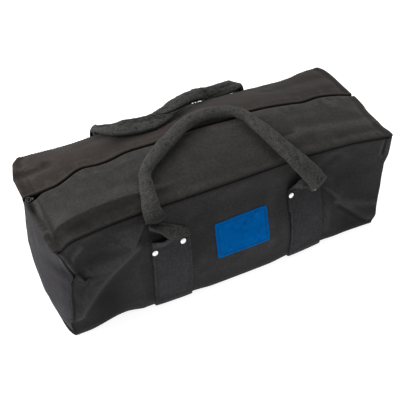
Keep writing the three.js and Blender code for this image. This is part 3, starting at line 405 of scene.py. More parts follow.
def cloth(name, g, thickness, flip, material, uv=None, wear_and_highlight=None, round_edge=0.3, shade=None, rim_wear=0.35, calm=1.0):
    """A cloth wall of real thickness from a grid of points on its outer side, with rounded rims."""
    nu, nv = g.shape[:2]
    n = grid_normals(g) * flip
    inner = g - n * thickness
    bend = relief(g, n)
    # Lighter on ridges, from worn ridges plus the wear and painted highlights passed in; darker in creases as painted
    # shade; the third channel is painted shade.
    ridge, crease_shade = np.clip(bend * 55, 0, 1) * calm, np.clip(-bend * 55, 0, 1)
    if wear_and_highlight is not None:
        ridge = np.clip(ridge + wear_and_highlight, 0, 1)
    if uv is None:
        uv = np.stack(np.broadcast_arrays(arc(g[:, nv // 2])[:, None], arc(g[nu // 2])[None, :]), -1)
    tone = np.stack([ridge, crease_shade, np.zeros_like(ridge) if shade is None else np.clip(shade, 0, 1)], -1)
    # the rim, as a closed loop of grid places
    ring = [(i, 0) for i in range(nu)] + [(nu - 1, j) for j in range(1, nv)] + [(i, nv - 1) for i in range(nu - 2, -1, -1)] + [(0, j) for j in range(nv - 2, 0, -1)]
    ri, rj = np.array(ring).T
    ci, cj = np.clip(ri, 1, nu - 2), np.clip(rj, 1, nv - 2)
    outward = unit(g[ri, rj] - g[ci, cj])
    mid = (g[ri, rj] + inner[ri, rj]) / 2 + outward * thickness * round_edge
    verts = np.concatenate([g.reshape(-1, 3), inner.reshape(-1, 3), mid])
    uvs = np.concatenate([uv.reshape(-1, 2)] * 2 + [uv[ri, rj]])
    tones = np.concatenate([tone.reshape(-1, 3)] * 2 + [np.clip(tone[ri, rj] + [rim_wear, 0, 0], 0, 1)])
    base, m = nu * nv, len(ring)
    o_ring, i_ring, m_ring = ri * nv + rj, base + ri * nv + rj, 2 * base + np.arange(m)
    nxt = np.roll(np.arange(m), -1)
    rim = np.concatenate([np.stack([o_ring, o_ring[nxt], m_ring[nxt], m_ring], 1), np.stack([m_ring, m_ring[nxt], i_ring[nxt], i_ring], 1)])
    outer_q, inner_q = grid_faces(nu, nv), grid_faces(nu, nv, base, True)
    # outward facing: the outer side's normals agree with n
    q = outer_q[len(outer_q) // 2]
    fn = np.cross(verts[q[1]] - verts[q[0]], verts[q[2]] - verts[q[0]])
    if fn @ n.reshape(-1, 3)[q[0]] < 0:
        outer_q, inner_q = outer_q[:, ::-1], inner_q[:, ::-1]
    edge_dir = {tuple(e) for q4 in outer_q[[0]] for e in zip(q4, np.roll(q4, -1))}
    if (o_ring[0], o_ring[1]) in edge_dir:
        rim = rim[:, ::-1]
    return new_object(name, verts, [outer_q, inner_q, rim], uvs, tones, material)


# ------------------------------------------------------------------- materials
def nodes_of(name):
    m = bpy.data.materials.new(name)
    m.use_nodes = True
    t = m.node_tree
    t.nodes.clear()
    out = t.nodes.new("ShaderNodeOutputMaterial")
    p = t.nodes.new("ShaderNodeBsdfPrincipled")
    t.links.new(p.outputs[0], out.inputs[0])
    return m, t, p


class Build:
    """Short names for making shader nodes."""

    def __init__(self, tree):
        self.t = tree

    def node(self, kind, **sets):
        n = self.t.nodes.new(kind)
        for k, v in sets.items():
            setattr(n, k, v)
        return n

    def put(self, value, socket):
        if isinstance(value, bpy.types.NodeSocket):
            self.t.links.new(value, socket)
        else:
            socket.default_value = value

    def math(self, op, a, b=0.0, c=None, clamp=False):
        n = self.node("ShaderNodeMath", operation=op, use_clamp=clamp)
        self.put(a, n.inputs[0])
        self.put(b, n.inputs[1])
        if c is not None:
            self.put(c, n.inputs[2])
        return n.outputs[0]

    def noise(self, vec, scale, detail=2.0, rough=0.5, distort=0.0):
        n = self.node("ShaderNodeTexNoise")
        self.put(vec, n.inputs["Vector"])
        n.inputs["Scale"].default_value, n.inputs["Detail"].default_value = scale, detail
        n.inputs["Roughness"].default_value, n.inputs["Distortion"].default_value = rough, distort
        return n.outputs["Fac"]

    def scale(self, vec, xyz):
        n = self.node("ShaderNodeVectorMath", operation="MULTIPLY")
        self.put(vec, n.inputs[0])
        n.inputs[1].default_value = xyz
        return n.outputs[0]

    def ramp(self, value, stops):
        n = self.node("ShaderNodeValToRGB")
        self.put(value, n.inputs[0])
        r = n.color_ramp
        while len(r.elements) < len(stops):
            r.elements.new(0.5)
        for e, (at, v) in zip(r.elements, stops):
            e.position = at
            e.color = (v, v, v, 1)
        return n.outputs[0]

    def tint(self, colour, factor):
        """colour scaled by a grey factor."""
        n = self.node("ShaderNodeVectorMath", operation="SCALE")
        self.put(colour, n.inputs[0])
        self.put(factor, n.inputs["Scale"])
        return n.outputs[0]

    def mix(self, fac, a, b):
        n = self.node("ShaderNodeMix", data_type="RGBA")
        self.put(fac, n.inputs[0])
        self.put(a, n.inputs[6])
        self.put(b, n.inputs[7])
        return n.outputs[2]

    def bump(self, height, strength, distance, normal=None):
        n = self.node("ShaderNodeBump")
        n.inputs["Strength"].default_value, n.inputs["Distance"].default_value = strength, distance
        self.put(height, n.inputs["Height"])
        if normal:
            self.t.links.new(normal, n.inputs["Normal"])
        return n.outputs[0]

    def tone(self):
        a = self.node("ShaderNodeAttribute", attribute_name="tone")
        s = self.node("ShaderNodeSeparateColor")
        self.t.links.new(a.outputs["Color"], s.inputs[0])
        return s.outputs[0], s.outputs[1], s.outputs[2]

    def uv(self):
        n = self.node("ShaderNodeUVMap", uv_map="Cloth")
        return n.outputs[0]

    def place(self):
        return self.node("ShaderNodeTexCoord").outputs["Object"]

    def xyz(self, vec):
        n = self.node("ShaderNodeSeparateXYZ")
        self.put(vec, n.inputs[0])
        return n.outputs


def finish_cloth(p, sheen, sheen_rough, rough, spec=0.08):
    p.inputs["Roughness"].default_value = rough
    p.inputs["Specular IOR Level"].default_value = spec
    p.inputs["Sheen Weight"].default_value = sheen
    p.inputs["Sheen Roughness"].default_value = sheen_rough
    p.inputs["Sheen Tint"].default_value = (0.9, 0.92, 1.0, 1)


def canvas(name, colour, streak=0.16, blotch=0.16, sheen=0.04):
    """Plain-weave cotton canvas: threads about 0.8 mm, faint streaks down the cloth, worn ridges with painted
    highlights, painted shade in creases and shaded places, lint.
    """
    m, t, p = nodes_of(name)
    b = Build(t)
    uv, at = b.uv(), b.place()
    ridge, crease_shade, deep = b.tone()
    u, v, _ = b.xyz(b.scale(uv, (math.pi / 0.00085, math.pi / 0.00085, 1)))
    wob = b.math("MULTIPLY", b.math("SUBTRACT", b.noise(uv, 220, 2), 0.5), 2.2)
    su, sv = b.math("SINE", b.math("ADD", u, wob)), b.math("SINE", b.math("ADD", v, wob))
    weave = b.math("MULTIPLY", su, sv)
    streaks = b.noise(b.scale(uv, (900, 26, 1)), 1.0, 3, 0.65)
    cross = b.noise(b.scale(uv, (30, 700, 1)), 1.0, 2, 0.6)
    cloud = b.noise(at, 16, 4, 0.55)
    fade = b.noise(at, 5.5, 2, 0.5)
    slub = b.noise(b.scale(uv, (260, 260, 1)), 1.0, 3, 0.7)
    k = b.math("ADD", 1.0, b.math("MULTIPLY", b.math("SUBTRACT", streaks, 0.5), 2 * streak))
    k = b.math("MULTIPLY", k, b.math("ADD", 1.0, b.math("MULTIPLY", b.math("SUBTRACT", cross, 0.5), streak)))
    k = b.math("MULTIPLY", k, b.math("ADD", 1.0, b.math("MULTIPLY", b.math("SUBTRACT", cloud, 0.5), 2 * blotch)))
    k = b.math("MULTIPLY", k, b.math("ADD", 1.0, b.math("MULTIPLY", b.math("SUBTRACT", fade, 0.5), 2 * blotch)))
    k = b.math("MULTIPLY", k, b.math("ADD", 1.0, b.math("MULTIPLY", b.math("SUBTRACT", slub, 0.5), 1.35)))
    k = b.math("MULTIPLY", k, b.math("ADD", 0.96, b.math("MULTIPLY", weave, 0.16)))
    # Wear and painted highlight lighten the ridges; painted shade darkens the creases and the places the third channel
    # marks.
    k = b.math("MULTIPLY", k, b.math("ADD", 1.0, b.math("MULTIPLY", ridge, 0.55)))
    k = b.math("MULTIPLY", k, b.math("SUBTRACT", 1.0, b.math("MULTIPLY", crease_shade, 0.22)))
    k = b.math("MULTIPLY", k, b.math("SUBTRACT", 1.0, b.math("MULTIPLY", deep, 0.75)))
    lint = b.ramp(b.noise(b.scale(uv, (330, 210, 1)), 1.0, 2, 0.6), [(0.0, 0.0), (0.74, 0.0), (0.80, 1.0)])
    base = b.tint((*colour,), k)
    base = b.mix(b.math("MULTIPLY", lint, 0.18), base, (0.16, 0.155, 0.15, 1))
    b.put(base, p.inputs["Base Color"])
    h = b.math("ADD", weave, b.math("MULTIPLY", b.math("SUBTRACT", slub, 0.5), 2.4))
    b.put(b.bump(h, 0.55, 0.00022), p.inputs["Normal"])
    rough = b.math("ADD", 0.84, b.math("MULTIPLY", slub, 0.14))
    finish_cloth(p, sheen, 0.55, 0.9)
    b.put(rough, p.inputs["Roughness"])
    return m


def webbing(name, colour, mottle=0.12, sheen=0.03, rib=0.0021, warp_pitch=0.00155, contrast=0.2, speckle=0.25):
    """Heavy cotton webbing: a herringbone of raised ribs across it and long warp lines, a little fuzzy."""
    m, t, p = nodes_of(name)
    b = Build(t)
    uv, at = b.uv(), b.place()
    ridge, crease_shade, deep = b.tone()
    u, v, _ = b.xyz(uv)
    zig = b.math("PINGPONG", u, 0.0031)
    run = b.math("ADD", v, b.math("MULTIPLY", zig, 0.8))
    wob = b.math("MULTIPLY", b.math("SUBTRACT", b.noise(uv, 160, 2), 0.5), 0.0009)
    ribs = b.math("SINE", b.math("MULTIPLY", b.math("ADD", run, wob), 2 * math.pi / rib))
    warp = b.math("SINE", b.math("MULTIPLY", u, 2 * math.pi / warp_pitch))
    weave = b.math("ADD", b.math("MULTIPLY", ribs, 0.7), b.math("MULTIPLY", warp, 0.3))
    fuzz = b.noise(at, 260, 3, 0.7)
    cloud = b.noise(at, 34, 3, 0.6)
    k = b.math("ADD", 0.95, b.math("MULTIPLY", weave, contrast))
    k = b.math("ADD", k, b.math("MULTIPLY", b.math("SUBTRACT", b.noise(at, 330, 2, 0.6), 0.5), speckle))
    k = b.math("MULTIPLY", k, b.math("ADD", 1.0, b.math("MULTIPLY", b.math("SUBTRACT", fuzz, 0.5), 1.3)))
    k = b.math("MULTIPLY", k, b.math("ADD", 1.0, b.math("MULTIPLY", b.math("SUBTRACT", cloud, 0.5), 4 * mottle)))
    # Wear and painted highlight lighten the ridges; painted shade darkens the creases and the places the third channel
    # marks.
    k = b.math("MULTIPLY", k, b.math("ADD", 1.0, b.math("MULTIPLY", ridge, 0.44)))
    k = b.math("MULTIPLY", k, b.math("SUBTRACT", 1.0, b.math("MULTIPLY", crease_shade, 0.3)))
    k = b.math("MULTIPLY", k, b.math("SUBTRACT", 1.0, b.math("MULTIPLY", deep, 0.8)))
    base = b.tint((*colour,), k)
    lint = b.ramp(b.noise(at, 420, 2, 0.6), [(0.0, 0.0), (0.70, 0.0), (0.78, 1.0)])
    base = b.mix(b.math("MULTIPLY", lint, 0.16), base, (0.2, 0.2, 0.19, 1))
    b.put(base, p.inputs["Base Color"])
    h = b.math("ADD", weave, b.math("MULTIPLY", b.math("SUBTRACT", fuzz, 0.5), 1.6))
    b.put(b.bump(h, 0.6, 0.00035), p.inputs["Normal"])
    finish_cloth(p, sheen, 0.5, 0.88)
    return m


def plain_cloth(name, colour, pitch, rough=0.8, strength=0.35, vary=0.14, sheen=0.03, spec=0.08):
    """Fine woven cloth or tape."""
    m, t, p = nodes_of(name)
    b = Build(t)
    uv, at = b.uv(), b.place()
    ridge, crease_shade, _ = b.tone()
    u, v, _ = b.xyz(b.scale(uv, (math.pi / pitch, math.pi / pitch, 1)))
    weave = b.math("MULTIPLY", b.math("SINE", u), b.math("SINE", v))
    cloud = b.noise(at, 60, 3, 0.6)
    fine = b.noise(b.scale(uv, (900, 120, 1)), 1.0, 2, 0.6)
    k = b.math("ADD", 0.97, b.math("MULTIPLY", weave, 0.1))
    k = b.math("MULTIPLY", k, b.math("ADD", 1.0, b.math("MULTIPLY", b.math("SUBTRACT", cloud, 0.5), 2 * vary)))
    k = b.math("MULTIPLY", k, b.math("ADD", 1.0, b.math("MULTIPLY", b.math("SUBTRACT", fine, 0.5), vary)))
    # Wear and painted highlight lighten the ridges; painted shade darkens the creases.
    k = b.math("MULTIPLY", k, b.math("ADD", 1.0, b.math("MULTIPLY", ridge, 0.25)))
    k = b.math("MULTIPLY", k, b.math("SUBTRACT", 1.0, b.math("MULTIPLY", crease_shade, 0.3)))
    b.put(b.tint((*colour,), k), p.inputs["Base Color"])
    b.put(b.bump(weave, strength, 0.00012), p.inputs["Normal"])
    finish_cloth(p, sheen, 0.5, rough, spec)
    return m


def metal(name, colour, rough, worn):
    m, t, p = nodes_of(name)
    b = Build(t)
    at = b.place()
    fine, big = b.noise(at, 1400, 3, 0.6), b.noise(at, 240, 2, 0.5)
    b.put(b.tint((*colour,), b.math("ADD", 1 - worn / 2, b.math("MULTIPLY", big, worn))), p.inputs["Base Color"])
    b.put(b.math("ADD", rough - 0.08, b.math("MULTIPLY", fine, 0.18)), p.inputs["Roughness"])
    b.put(b.bump(fine, 0.08, 0.0001), p.inputs["Normal"])
    p.inputs["Metallic"].default_value = 1.0
    return m


def hard_plastic(name, colour, rough):
    m, t, p = nodes_of(name)
    b = Build(t)
    fine = b.noise(b.place(), 900, 2, 0.5)
    b.put(b.tint((*colour,), b.math("ADD", 0.85, b.math("MULTIPLY", fine, 0.3))), p.inputs["Base Color"])
    b.put(b.math("ADD", rough, b.math("MULTIPLY", fine, 0.15)), p.inputs["Roughness"])
    b.put(b.bump(fine, 0.1, 0.0001), p.inputs["Normal"])
    return m


MAT = {
    "front": canvas("canvas_front_cloth", (0.0264, 0.0249, 0.0253)),
    "top": canvas("canvas_top_cloth", (0.0259, 0.0249, 0.0231)),
    "rear": canvas("canvas_rear_cloth", (0.0246, 0.0199, 0.0172)),
    "end": canvas("canvas_end_cloth", (0.0242, 0.0227, 0.0255)),
    "band": webbing("webbing_band", (0.0280, 0.0279, 0.0298), rib=0.0027, warp_pitch=0.0023, contrast=0.3),
    "grip": webbing("webbing_grip", (0.0268, 0.0266, 0.0252), mottle=0.17, rib=0.0036, warp_pitch=0.003, contrast=0.2, speckle=0.9),
    "tape": plain_cloth("zip_tape_cloth", (0.012, 0.012, 0.0125), 0.0006),
    "teeth": hard_plastic("zip_teeth_plastic", (0.01, 0.01, 0.011), 0.35),
    "thread": plain_cloth("sewing_thread", (0.034, 0.033, 0.032), 0.0004, rough=0.8),
    "label": plain_cloth("label_cloth", (0.0, 0.085, 0.298), 0.0007, rough=0.85, vary=0.08, sheen=0.0, spec=0.01),
    "label_thread": plain_cloth("label_thread", (0.002, 0.018, 0.085), 0.0004, rough=0.55),
    "rivet": metal("rivet_nickel", (0.86, 0.86, 0.85), 0.3, 0.1),
    "slider": metal("slider_nickel", (0.045, 0.045, 0.045), 0.45, 0.4),
}

# ------------------------------------------------------------- canvas panels
COLS = np.linspace(-1, 1, 250)
COLS = LENGTH / 2 * (COLS + 0.55 * np.sin(math.pi * COLS) / math.pi)     # closer together by the ends


def spaced(stops, counts):
    out = [np.linspace(a, b, n, endpoint=False) for a, b, n in zip(stops[:-1], stops[1:], counts)]
    return np.concatenate(out + [[stops[-1]]])


MAIN_TOP = 0.006
MAIN_S = spaced([MAIN_TOP, 0.39, 0.51, 1, 1.2, 1.8, 2, 3 - MAIN_TOP], [27, 22, 34, 7, 24, 7, 64])


def main_row(s):
    """One row of the main panel; on the front, its left end follows the lapped corner."""
    row = lambda x: main_point(x, np.full_like(x, s))
    if s > 0.98:
        return along(row, COLS)
    plain = row(np.array([-LENGTH / 2]))[0, 2]
    high, out = np.interp(plain, LAP_ROWS[:, 0], LAP_ROWS[:, 1]), np.interp(plain, LAP_ROWS[:, 0], LAP_ROWS[:, 2])
    low_end = float(end_x("left", -92, min(high, 92), False)) + max(0, high - 88) * 0.6
    lip_end = -LENGTH / 2 - float(column(*LIP.T, high))
    end = lerp(low_end, lip_end, float(smooth(84, 92, plain)))
    shift = end + LENGTH / 2
    e = row(np.array([LENGTH / 2]))[0]
    other = float(end_x("right", e[1], e[2])) - LENGTH / 2
    g = row(COLS + np.where(COLS < 0, shift, other) * smooth(150, LENGTH / 2, np.abs(COLS)))
    near = smooth(13, 1, LENGTH / 2 + COLS)
    g[:, 1] += near * out - 1.2 * bell(LENGTH / 2 + COLS - 1.6, 1.4) * smooth(78, 92, plain) * smooth(154, 148, plain)
    g[:, 2] += near * (high - plain)
    return g


main_grid = np.stack([main_row(s) for s in MAIN_S], 1)
PLAIN_Z = np.array([main_point(np.array([-LENGTH / 2]), np.array([s]))[0, 2] for s in MAIN_S])


# Lighter cloth by the ends: partly edge wear, partly painted highlight where the folded edges catch light.
def end_wear_and_highlight(x, width=5.0):
    return 0.5 * bell(LENGTH / 2 - np.abs(x), width)


# Painted shade, darker places of the cloth where shade falls: x, v, amount, spread in x, spread in v; v is z on the
# face and y on top.
FACE_SHADE_SPOTS = [(-178, 42, 0.85, 24, 30), (-150, 74, 0.15, 16, 26), (-45, 88, 0.2, 20, 50), (172, 105, 0.35, 40, 32), (-200, 12, 0.25, 30, 10), (190, 22, 0.75, 50, 34), (30, 10, 0.15, 120, 26)]
TOP_SHADE_SPOTS = {"front": [(-196, -79, 0.5, 24, 8), (-150, -74, 0.2, 24, 8), (170, -40, 0.15, 60, 50), (0, -45, 0.12, 60, 30)], "rear": [(-97, 29, 1.0, 26, 12), (60, 40, 0.16, 70, 60), (160, 40, 0.45, 90, 60)]}
# Painted shade along sharp creases: dark lines or a change of tone on the shaded side, like the folds.
FACE_SHADE_LINES = [(219.6, 155, 218.8, 129, 0.7, 1.2), (162, 54, 207, 11, 0.36, 2.6)]
TOP_SHADE_LINES = {"front": [(-219, -68, -122, -66, 0.85, 11, 1.6, 3)], "rear": []}


def shade_spots(g, spots):
    return sum(amount * bell(g[..., 0] - x, wx) * bell(g[..., 2 if spots is FACE_SHADE_SPOTS else 1] - v, wv) for x, v, amount, wx, wv in spots)


def painted_face_shade(g):
    """Painted shade on the face: beside the folds, between the left band and the label, and behind the lower left edge.
    """
    face_shade = shade_spots(g, FACE_SHADE_SPOTS)
    face_shade = face_shade + folds(FACE_SHADE_LINES, g[..., 0], g[..., 2])
    face_shade = face_shade + 0.75 * bell(LENGTH / 2 + COLS, 2.6)[:, None] * smooth(90, 84, PLAIN_Z)[None, :]
    return np.where(g[..., 1] < 0, face_shade, 0)


# The left end's lap is lightened, partly wear and partly painted highlight where its fold catches light; the bottom
# front edge is lighter from wear; the shade paints a seam shadow along the panel's top edges under the top panels, plus
# the painted face shade.
cloth("canvas_main", main_grid, CANVAS, 1, MAT["front"], wear_and_highlight=2.0 * end_wear_and_highlight(COLS, 2.2)[:, None] * (smooth(87, 92, PLAIN_Z) * (MAIN_S < 1))[None, :] + 0.3 * bell(MAIN_S - 1.1, 0.09)[None, :],
      shade=0.9 * bell(np.minimum(MAIN_S, 3 - MAIN_S) - MAIN_TOP, 0.016)[None, :] + painted_face_shade(main_grid))


def top_rows(side):
    key = "seamFz" if side < 0 else "seamRz"

    def face_row(x, down):
        t = height_to_t(x, section(x, key) - down, side)
        y, z = face(x, t, side)
        return np.stack([x, y + side * OVER, z], -1)

    def edge_row(x, down):
        p = top_point(x, np.ones_like(x), side)
        p[:, 2] -= down
        return p

    def bend(a, c, d, t):
        return a * (1 - t) ** 2 + c * 2 * t * (1 - t) + d * t * t

    rows, kind = [], []
    def tuck(x, k):
        """The folded edge: down from the corner, then in under the panel."""
        p = face_row(x, 0)
        p[:, 1] -= side * (OVER + 2.6) * k
        p[:, 2] += lerp(0.9, 1.3, k)
        return p

    for k in np.linspace(1, 0.25, 4, endpoint=False):
        rows.append(lambda x, k=k: tuck(x, k))
        kind.append(0)
    for t in np.linspace(0, 1, 8, endpoint=False):
        rows.append(lambda x, t=t: bend(tuck(x, 0.25), top_point(x, np.zeros_like(x), side), top_point(x, np.full_like(x, 0.035), side), t))
        kind.append(0)
    for w in np.linspace(0.035, 0.98, 50, endpoint=False):
        rows.append(lambda x, w=w: top_point(x, np.full_like(x, w), side))
        kind.append(1)
    for t in np.linspace(0, 1, 7, endpoint=False):
        rows.append(lambda x, t=t: bend(top_point(x, np.full_like(x, 0.98), side), edge_row(x, 0), edge_row(x, 2.4), t))
        kind.append(2)
    for d in np.linspace(2.4, HEM, 3):
        rows.append(lambda x, d=d: edge_row(x, d))
        kind.append(2)
    return rows


top_grids = {}
for side, name in ((-1, "front"), (1, "rear")):
    g = np.stack([along(r, COLS) for r in top_rows(side)], 1)
    n = grid_normals(g) * (-1 if side < 0 else 1)
    across = arc(g[len(COLS) // 2])
    # sewn edges draw up in small puckers
    seam = 0.55 * (0.5 + 0.5 * noise(COLS / 6.5, 0, 41 + side))[:, None] * bell(across - 9, 6)[None, :]
    hem = 0.5 * (0.5 + 0.5 * noise(COLS / 7.5, 3, 45 + side))[:, None] * bell(across[-1] - 14 - across, 6)[None, :]
    g = g + n * (seam + hem)[..., None]
    # by the ends the panel rolls down a little before the seam; by the zip's left end it sinks well below the seam's lip
    sunk = 0
    for sign, deep in ((-1, 1.3 if side < 0 else 1.2), (1, 1.2)):
        inward = LENGTH / 2 - sign * COLS
        y = g[..., 1]
        clear = smooth(2, 12, across)[None, :] * smooth(0, 14, across[-1] - across)[None, :]
        roll_down = deep * bell(inward - 7, 6)[:, None] * clear
        if side < 0 and sign < 0:
            sunk = bell(y + 19, 14) * bell(inward - 5.5, 3.2)[:, None]
            pleat = 0.2 * np.sin(y / 1.1) * bell(inward - 5, 4)[:, None] * smooth(-90, -80, y) * smooth(-38, -50, y)
            roll_down = roll_down + pleat + 5 * sunk
        g[..., 2] -= roll_down
    top_grids[name] = g
    # Lighter along the zip hem's fold and the end edges, partly wear and partly painted highlight; painted shade in
    # strips along the seam's fold and the zip hem, in the sunk gap by the zip's left end, in the shade spots and on the
    # lower side of the crease line.
    wear_and_highlight = 0.2 * bell(across - (across[-1] - 4), 2)[None, :] + 1.0 * end_wear_and_highlight(COLS, 2.0)[:, None]
    shade = np.clip(1.15 - across / 5.5, 0, 1)[None, :] + np.clip(1.2 - (across[-1] - across) / 6.0, 0, 1)[None, :] + 0.9 * sunk + shade_spots(g, TOP_SHADE_SPOTS[name]) + folds(TOP_SHADE_LINES[name], g[..., 0], g[..., 1]) + 0 * COLS[:, None]
    cloth(f"canvas_top_{name}", g, CANVAS, -1 if side < 0 else 1, MAT["top" if side < 0 else "rear"], wear_and_highlight=wear_and_highlight, shade=shade, calm=(smooth(5, 14, across) * smooth(0, 8, across[-1] - across))[None, :])


# End panels: a shallow dish whose rim turns outwards along the other panels.
def end_panel(which):
    sign, n = (-1 if which == "left" else 1), 46
    off = -(CANVAS + 0.35)

    def top_under(x, w, side):
        p = top_point(x, w, side)
        q = unit(np.cross(top_point(x, w + 0.01, side) - top_point(x, w - 0.01, side), top_point(x + 0.5, w, side) - top_point(x - 0.5, w, side)))
        q = q * np.sign(q[..., 2:3])
        return p + q * off

    def rim(side, k, back):
        k = np.asarray(k, float)
        e = np.full_like(k, sign * LENGTH / 2)
        if side == "top":
            fn = lambda x: np.where((k < 0.5)[..., None], top_under(x, lerp(0.035, 1, np.minimum(1, k * 2)), -1), top_under(x, lerp(1, 0.035, np.maximum(0, k * 2 - 1)), 1))
        else:
            s = {"front": lerp(1.1, 0.03, k), "rear": lerp(1.9, 2.97, k), "base": lerp(1.1, 1.9, k)}[side]
            fn = lambda x: on_main(x, s, off)
        at = fn(e)
        p = fn(end_x(which, at[..., 1], at[..., 2], False))
        if side == "top":
            p[..., 2] -= (3.0 + 6.5 * bell(p[..., 1] + 14, 20) if which == "left" else 2.0 + 5 * bell(p[..., 1], 14)) * smooth(-88, -80, p[..., 1]) * smooth(88, 80, p[..., 1])
        p[..., 0] -= sign * (back + 1.2)
        return p

    a = np.linspace(0, 1, n)
    grids = []
    dent = lambda g: g + (np.stack([-pinch(g[..., 1] - 3, g[..., 2]), 0 * g[..., 1], 0 * g[..., 1]], -1) if which == "left" else 0)
    for back in (0, FLANGE * 0.5, FLANGE):
        A, B, C, D = rim("front", a, back), rim("rear", a, back), rim("base", a, back), rim("top", a, back)
        ua, ub = a[:, None, None], a[None, :, None]
        g = A[None] * (1 - ua) + B[None] * ua + C[:, None] * (1 - ub) + D[:, None] * ub
        g = g - A[0] * (1 - ua) * (1 - ub) - B[0] * ua * (1 - ub) - A[-1] * (1 - ua) * ub - B[-1] * ua * ub
        grids.append(dent(g))
    bulge, low = END_BULGE[which]
    swell = (np.sin(math.pi * a) ** 0.75)[:, None] * (np.sin(math.pi * a ** low) ** 0.75)[None, :]
    g = grids[2].copy()
    soft = 0.9 * noise(g[..., 1] / 40, g[..., 2] / 36, 61 + sign) + 0.3 * noise(g[..., 1] / 15, g[..., 2] / 15, 65 + sign)
    for y0, z0, y1, z1, out, spread in ((-70, 120, -20, 96, 1.2, 12), (60, 130, 10, 100, -1.0, 12), (-60, 20, -20, 50, 0.9, 10), (50, 24, 10, 60, -0.9, 12)):
        soft = soft + folds([(y0, z0, y1, z1, out, spread)], g[..., 1], g[..., 2])
    lie = sum(out * bell(g[..., 1] - y0, sy) * bell(g[..., 2] - z0, sz) for y0, z0, out, sy, sz in END_SOFT[which])
    g[..., 0] += sign * (bulge * swell + (soft + lie) * np.minimum(1, swell * 1.6))
    # frame rows for the turned rim
    full = np.zeros((n + 4, n + 4, 3))
    full[2:-2, 2:-2] = g
    for r, gr in ((1, grids[1]), (0, grids[0])):
        pad = 2 - r
        src = np.pad(np.arange(n), pad, mode="edge")
        blk = gr[np.ix_(src, src)]
        lo, hi = r, n + 4 - r
        cut = full[lo:hi, lo:hi]
        m = np.ones(cut.shape[:2], bool)
        m[1:-1, 1:-1] = False
        cut[m] = blk[m]
    return full


def fuller(g):
    """Spreads doubled corner points so that no face is flat to nothing."""
    return g + np.random.RandomState(5).uniform(-0.004, 0.004, g.shape)


for which in ("left", "right"):
    g = fuller(end_panel(which))
    cloth(f"canvas_end_{which}", g, CANVAS, 1 if which == "left" else -1, MAT["end"])

# -------------------------------------------------------------------- webbing
ACROSS = np.array([-25, -24.4, -22.5, -18, -12, -6, 0, 6, 12, 18, 22.5, 24.4, 25.0])


def band_off(row):
    """How far a band's back lies off the face: it passes over the flat end of a handle further up."""
    return GAP + (WEB_T + GAP) * smooth(1.0, 0.5, row)


for name, x0 in STRAP_X.items():
    end = BAND_END[name]
    BAND_S = spaced([end, 1, 1.2, 1.8, 2, 3 - end], [80, 9, 30, 9, 80])
    row = np.where(BAND_S < 1.5, BAND_S, 3 - BAND_S)
    off = band_off(row)
    crown = -0.35 * (np.abs(ACROSS) / 25) ** 6
    edge = 0.5 * noise(BAND_S / 0.05, 0, 71)
    X = x0 + ACROSS[:, None] + edge[None, :] * (np.abs(ACROSS) > 20)[:, None]
    swell = 0
    if name == "left":
        swell = 7 * bell(ACROSS + 12, 10)[:, None] * (bell(np.maximum(0, BAND_S - end), 0.05) * (BAND_S < 1))[None, :]
    g = on_main(X, np.broadcast_to(BAND_S, X.shape), (off + WEB_T)[None, :] + crown[:, None] + swell)
    along_band = arc(g[6])
    uv = np.stack(np.broadcast_arrays(ACROSS[:, None] + 25, along_band[None, :]), -1)
    # Lighter edges and top end: worn edges, and a painted highlight on the top end's fold.
    wear_and_highlight = 0.35 * (np.abs(ACROSS) / 25)[:, None] ** 10 + 0.6 * bell(row - end, 0.012)[None, :]
    cloth(f"band_{name}", g, WEB_T, 1, MAT["band"], uv=uv, wear_and_highlight=wear_and_highlight)


def ellipse_turn(a, b, n=241):
    """Tangent angle along an ellipse against its arc length, from the top both ways."""
    t = np.linspace(-math.pi, math.pi, n)
    p = np.stack([a * np.sin(t), b * np.cos(t)], -1)
    s = arc(p)
    d = np.stack([a * np.cos(t), -b * np.sin(t)], -1)
    ang = np.unwrap(np.arctan2(-d[:, 1], d[:, 0]))
    mid = n // 2
    return s - s[mid], ang - ang[mid]


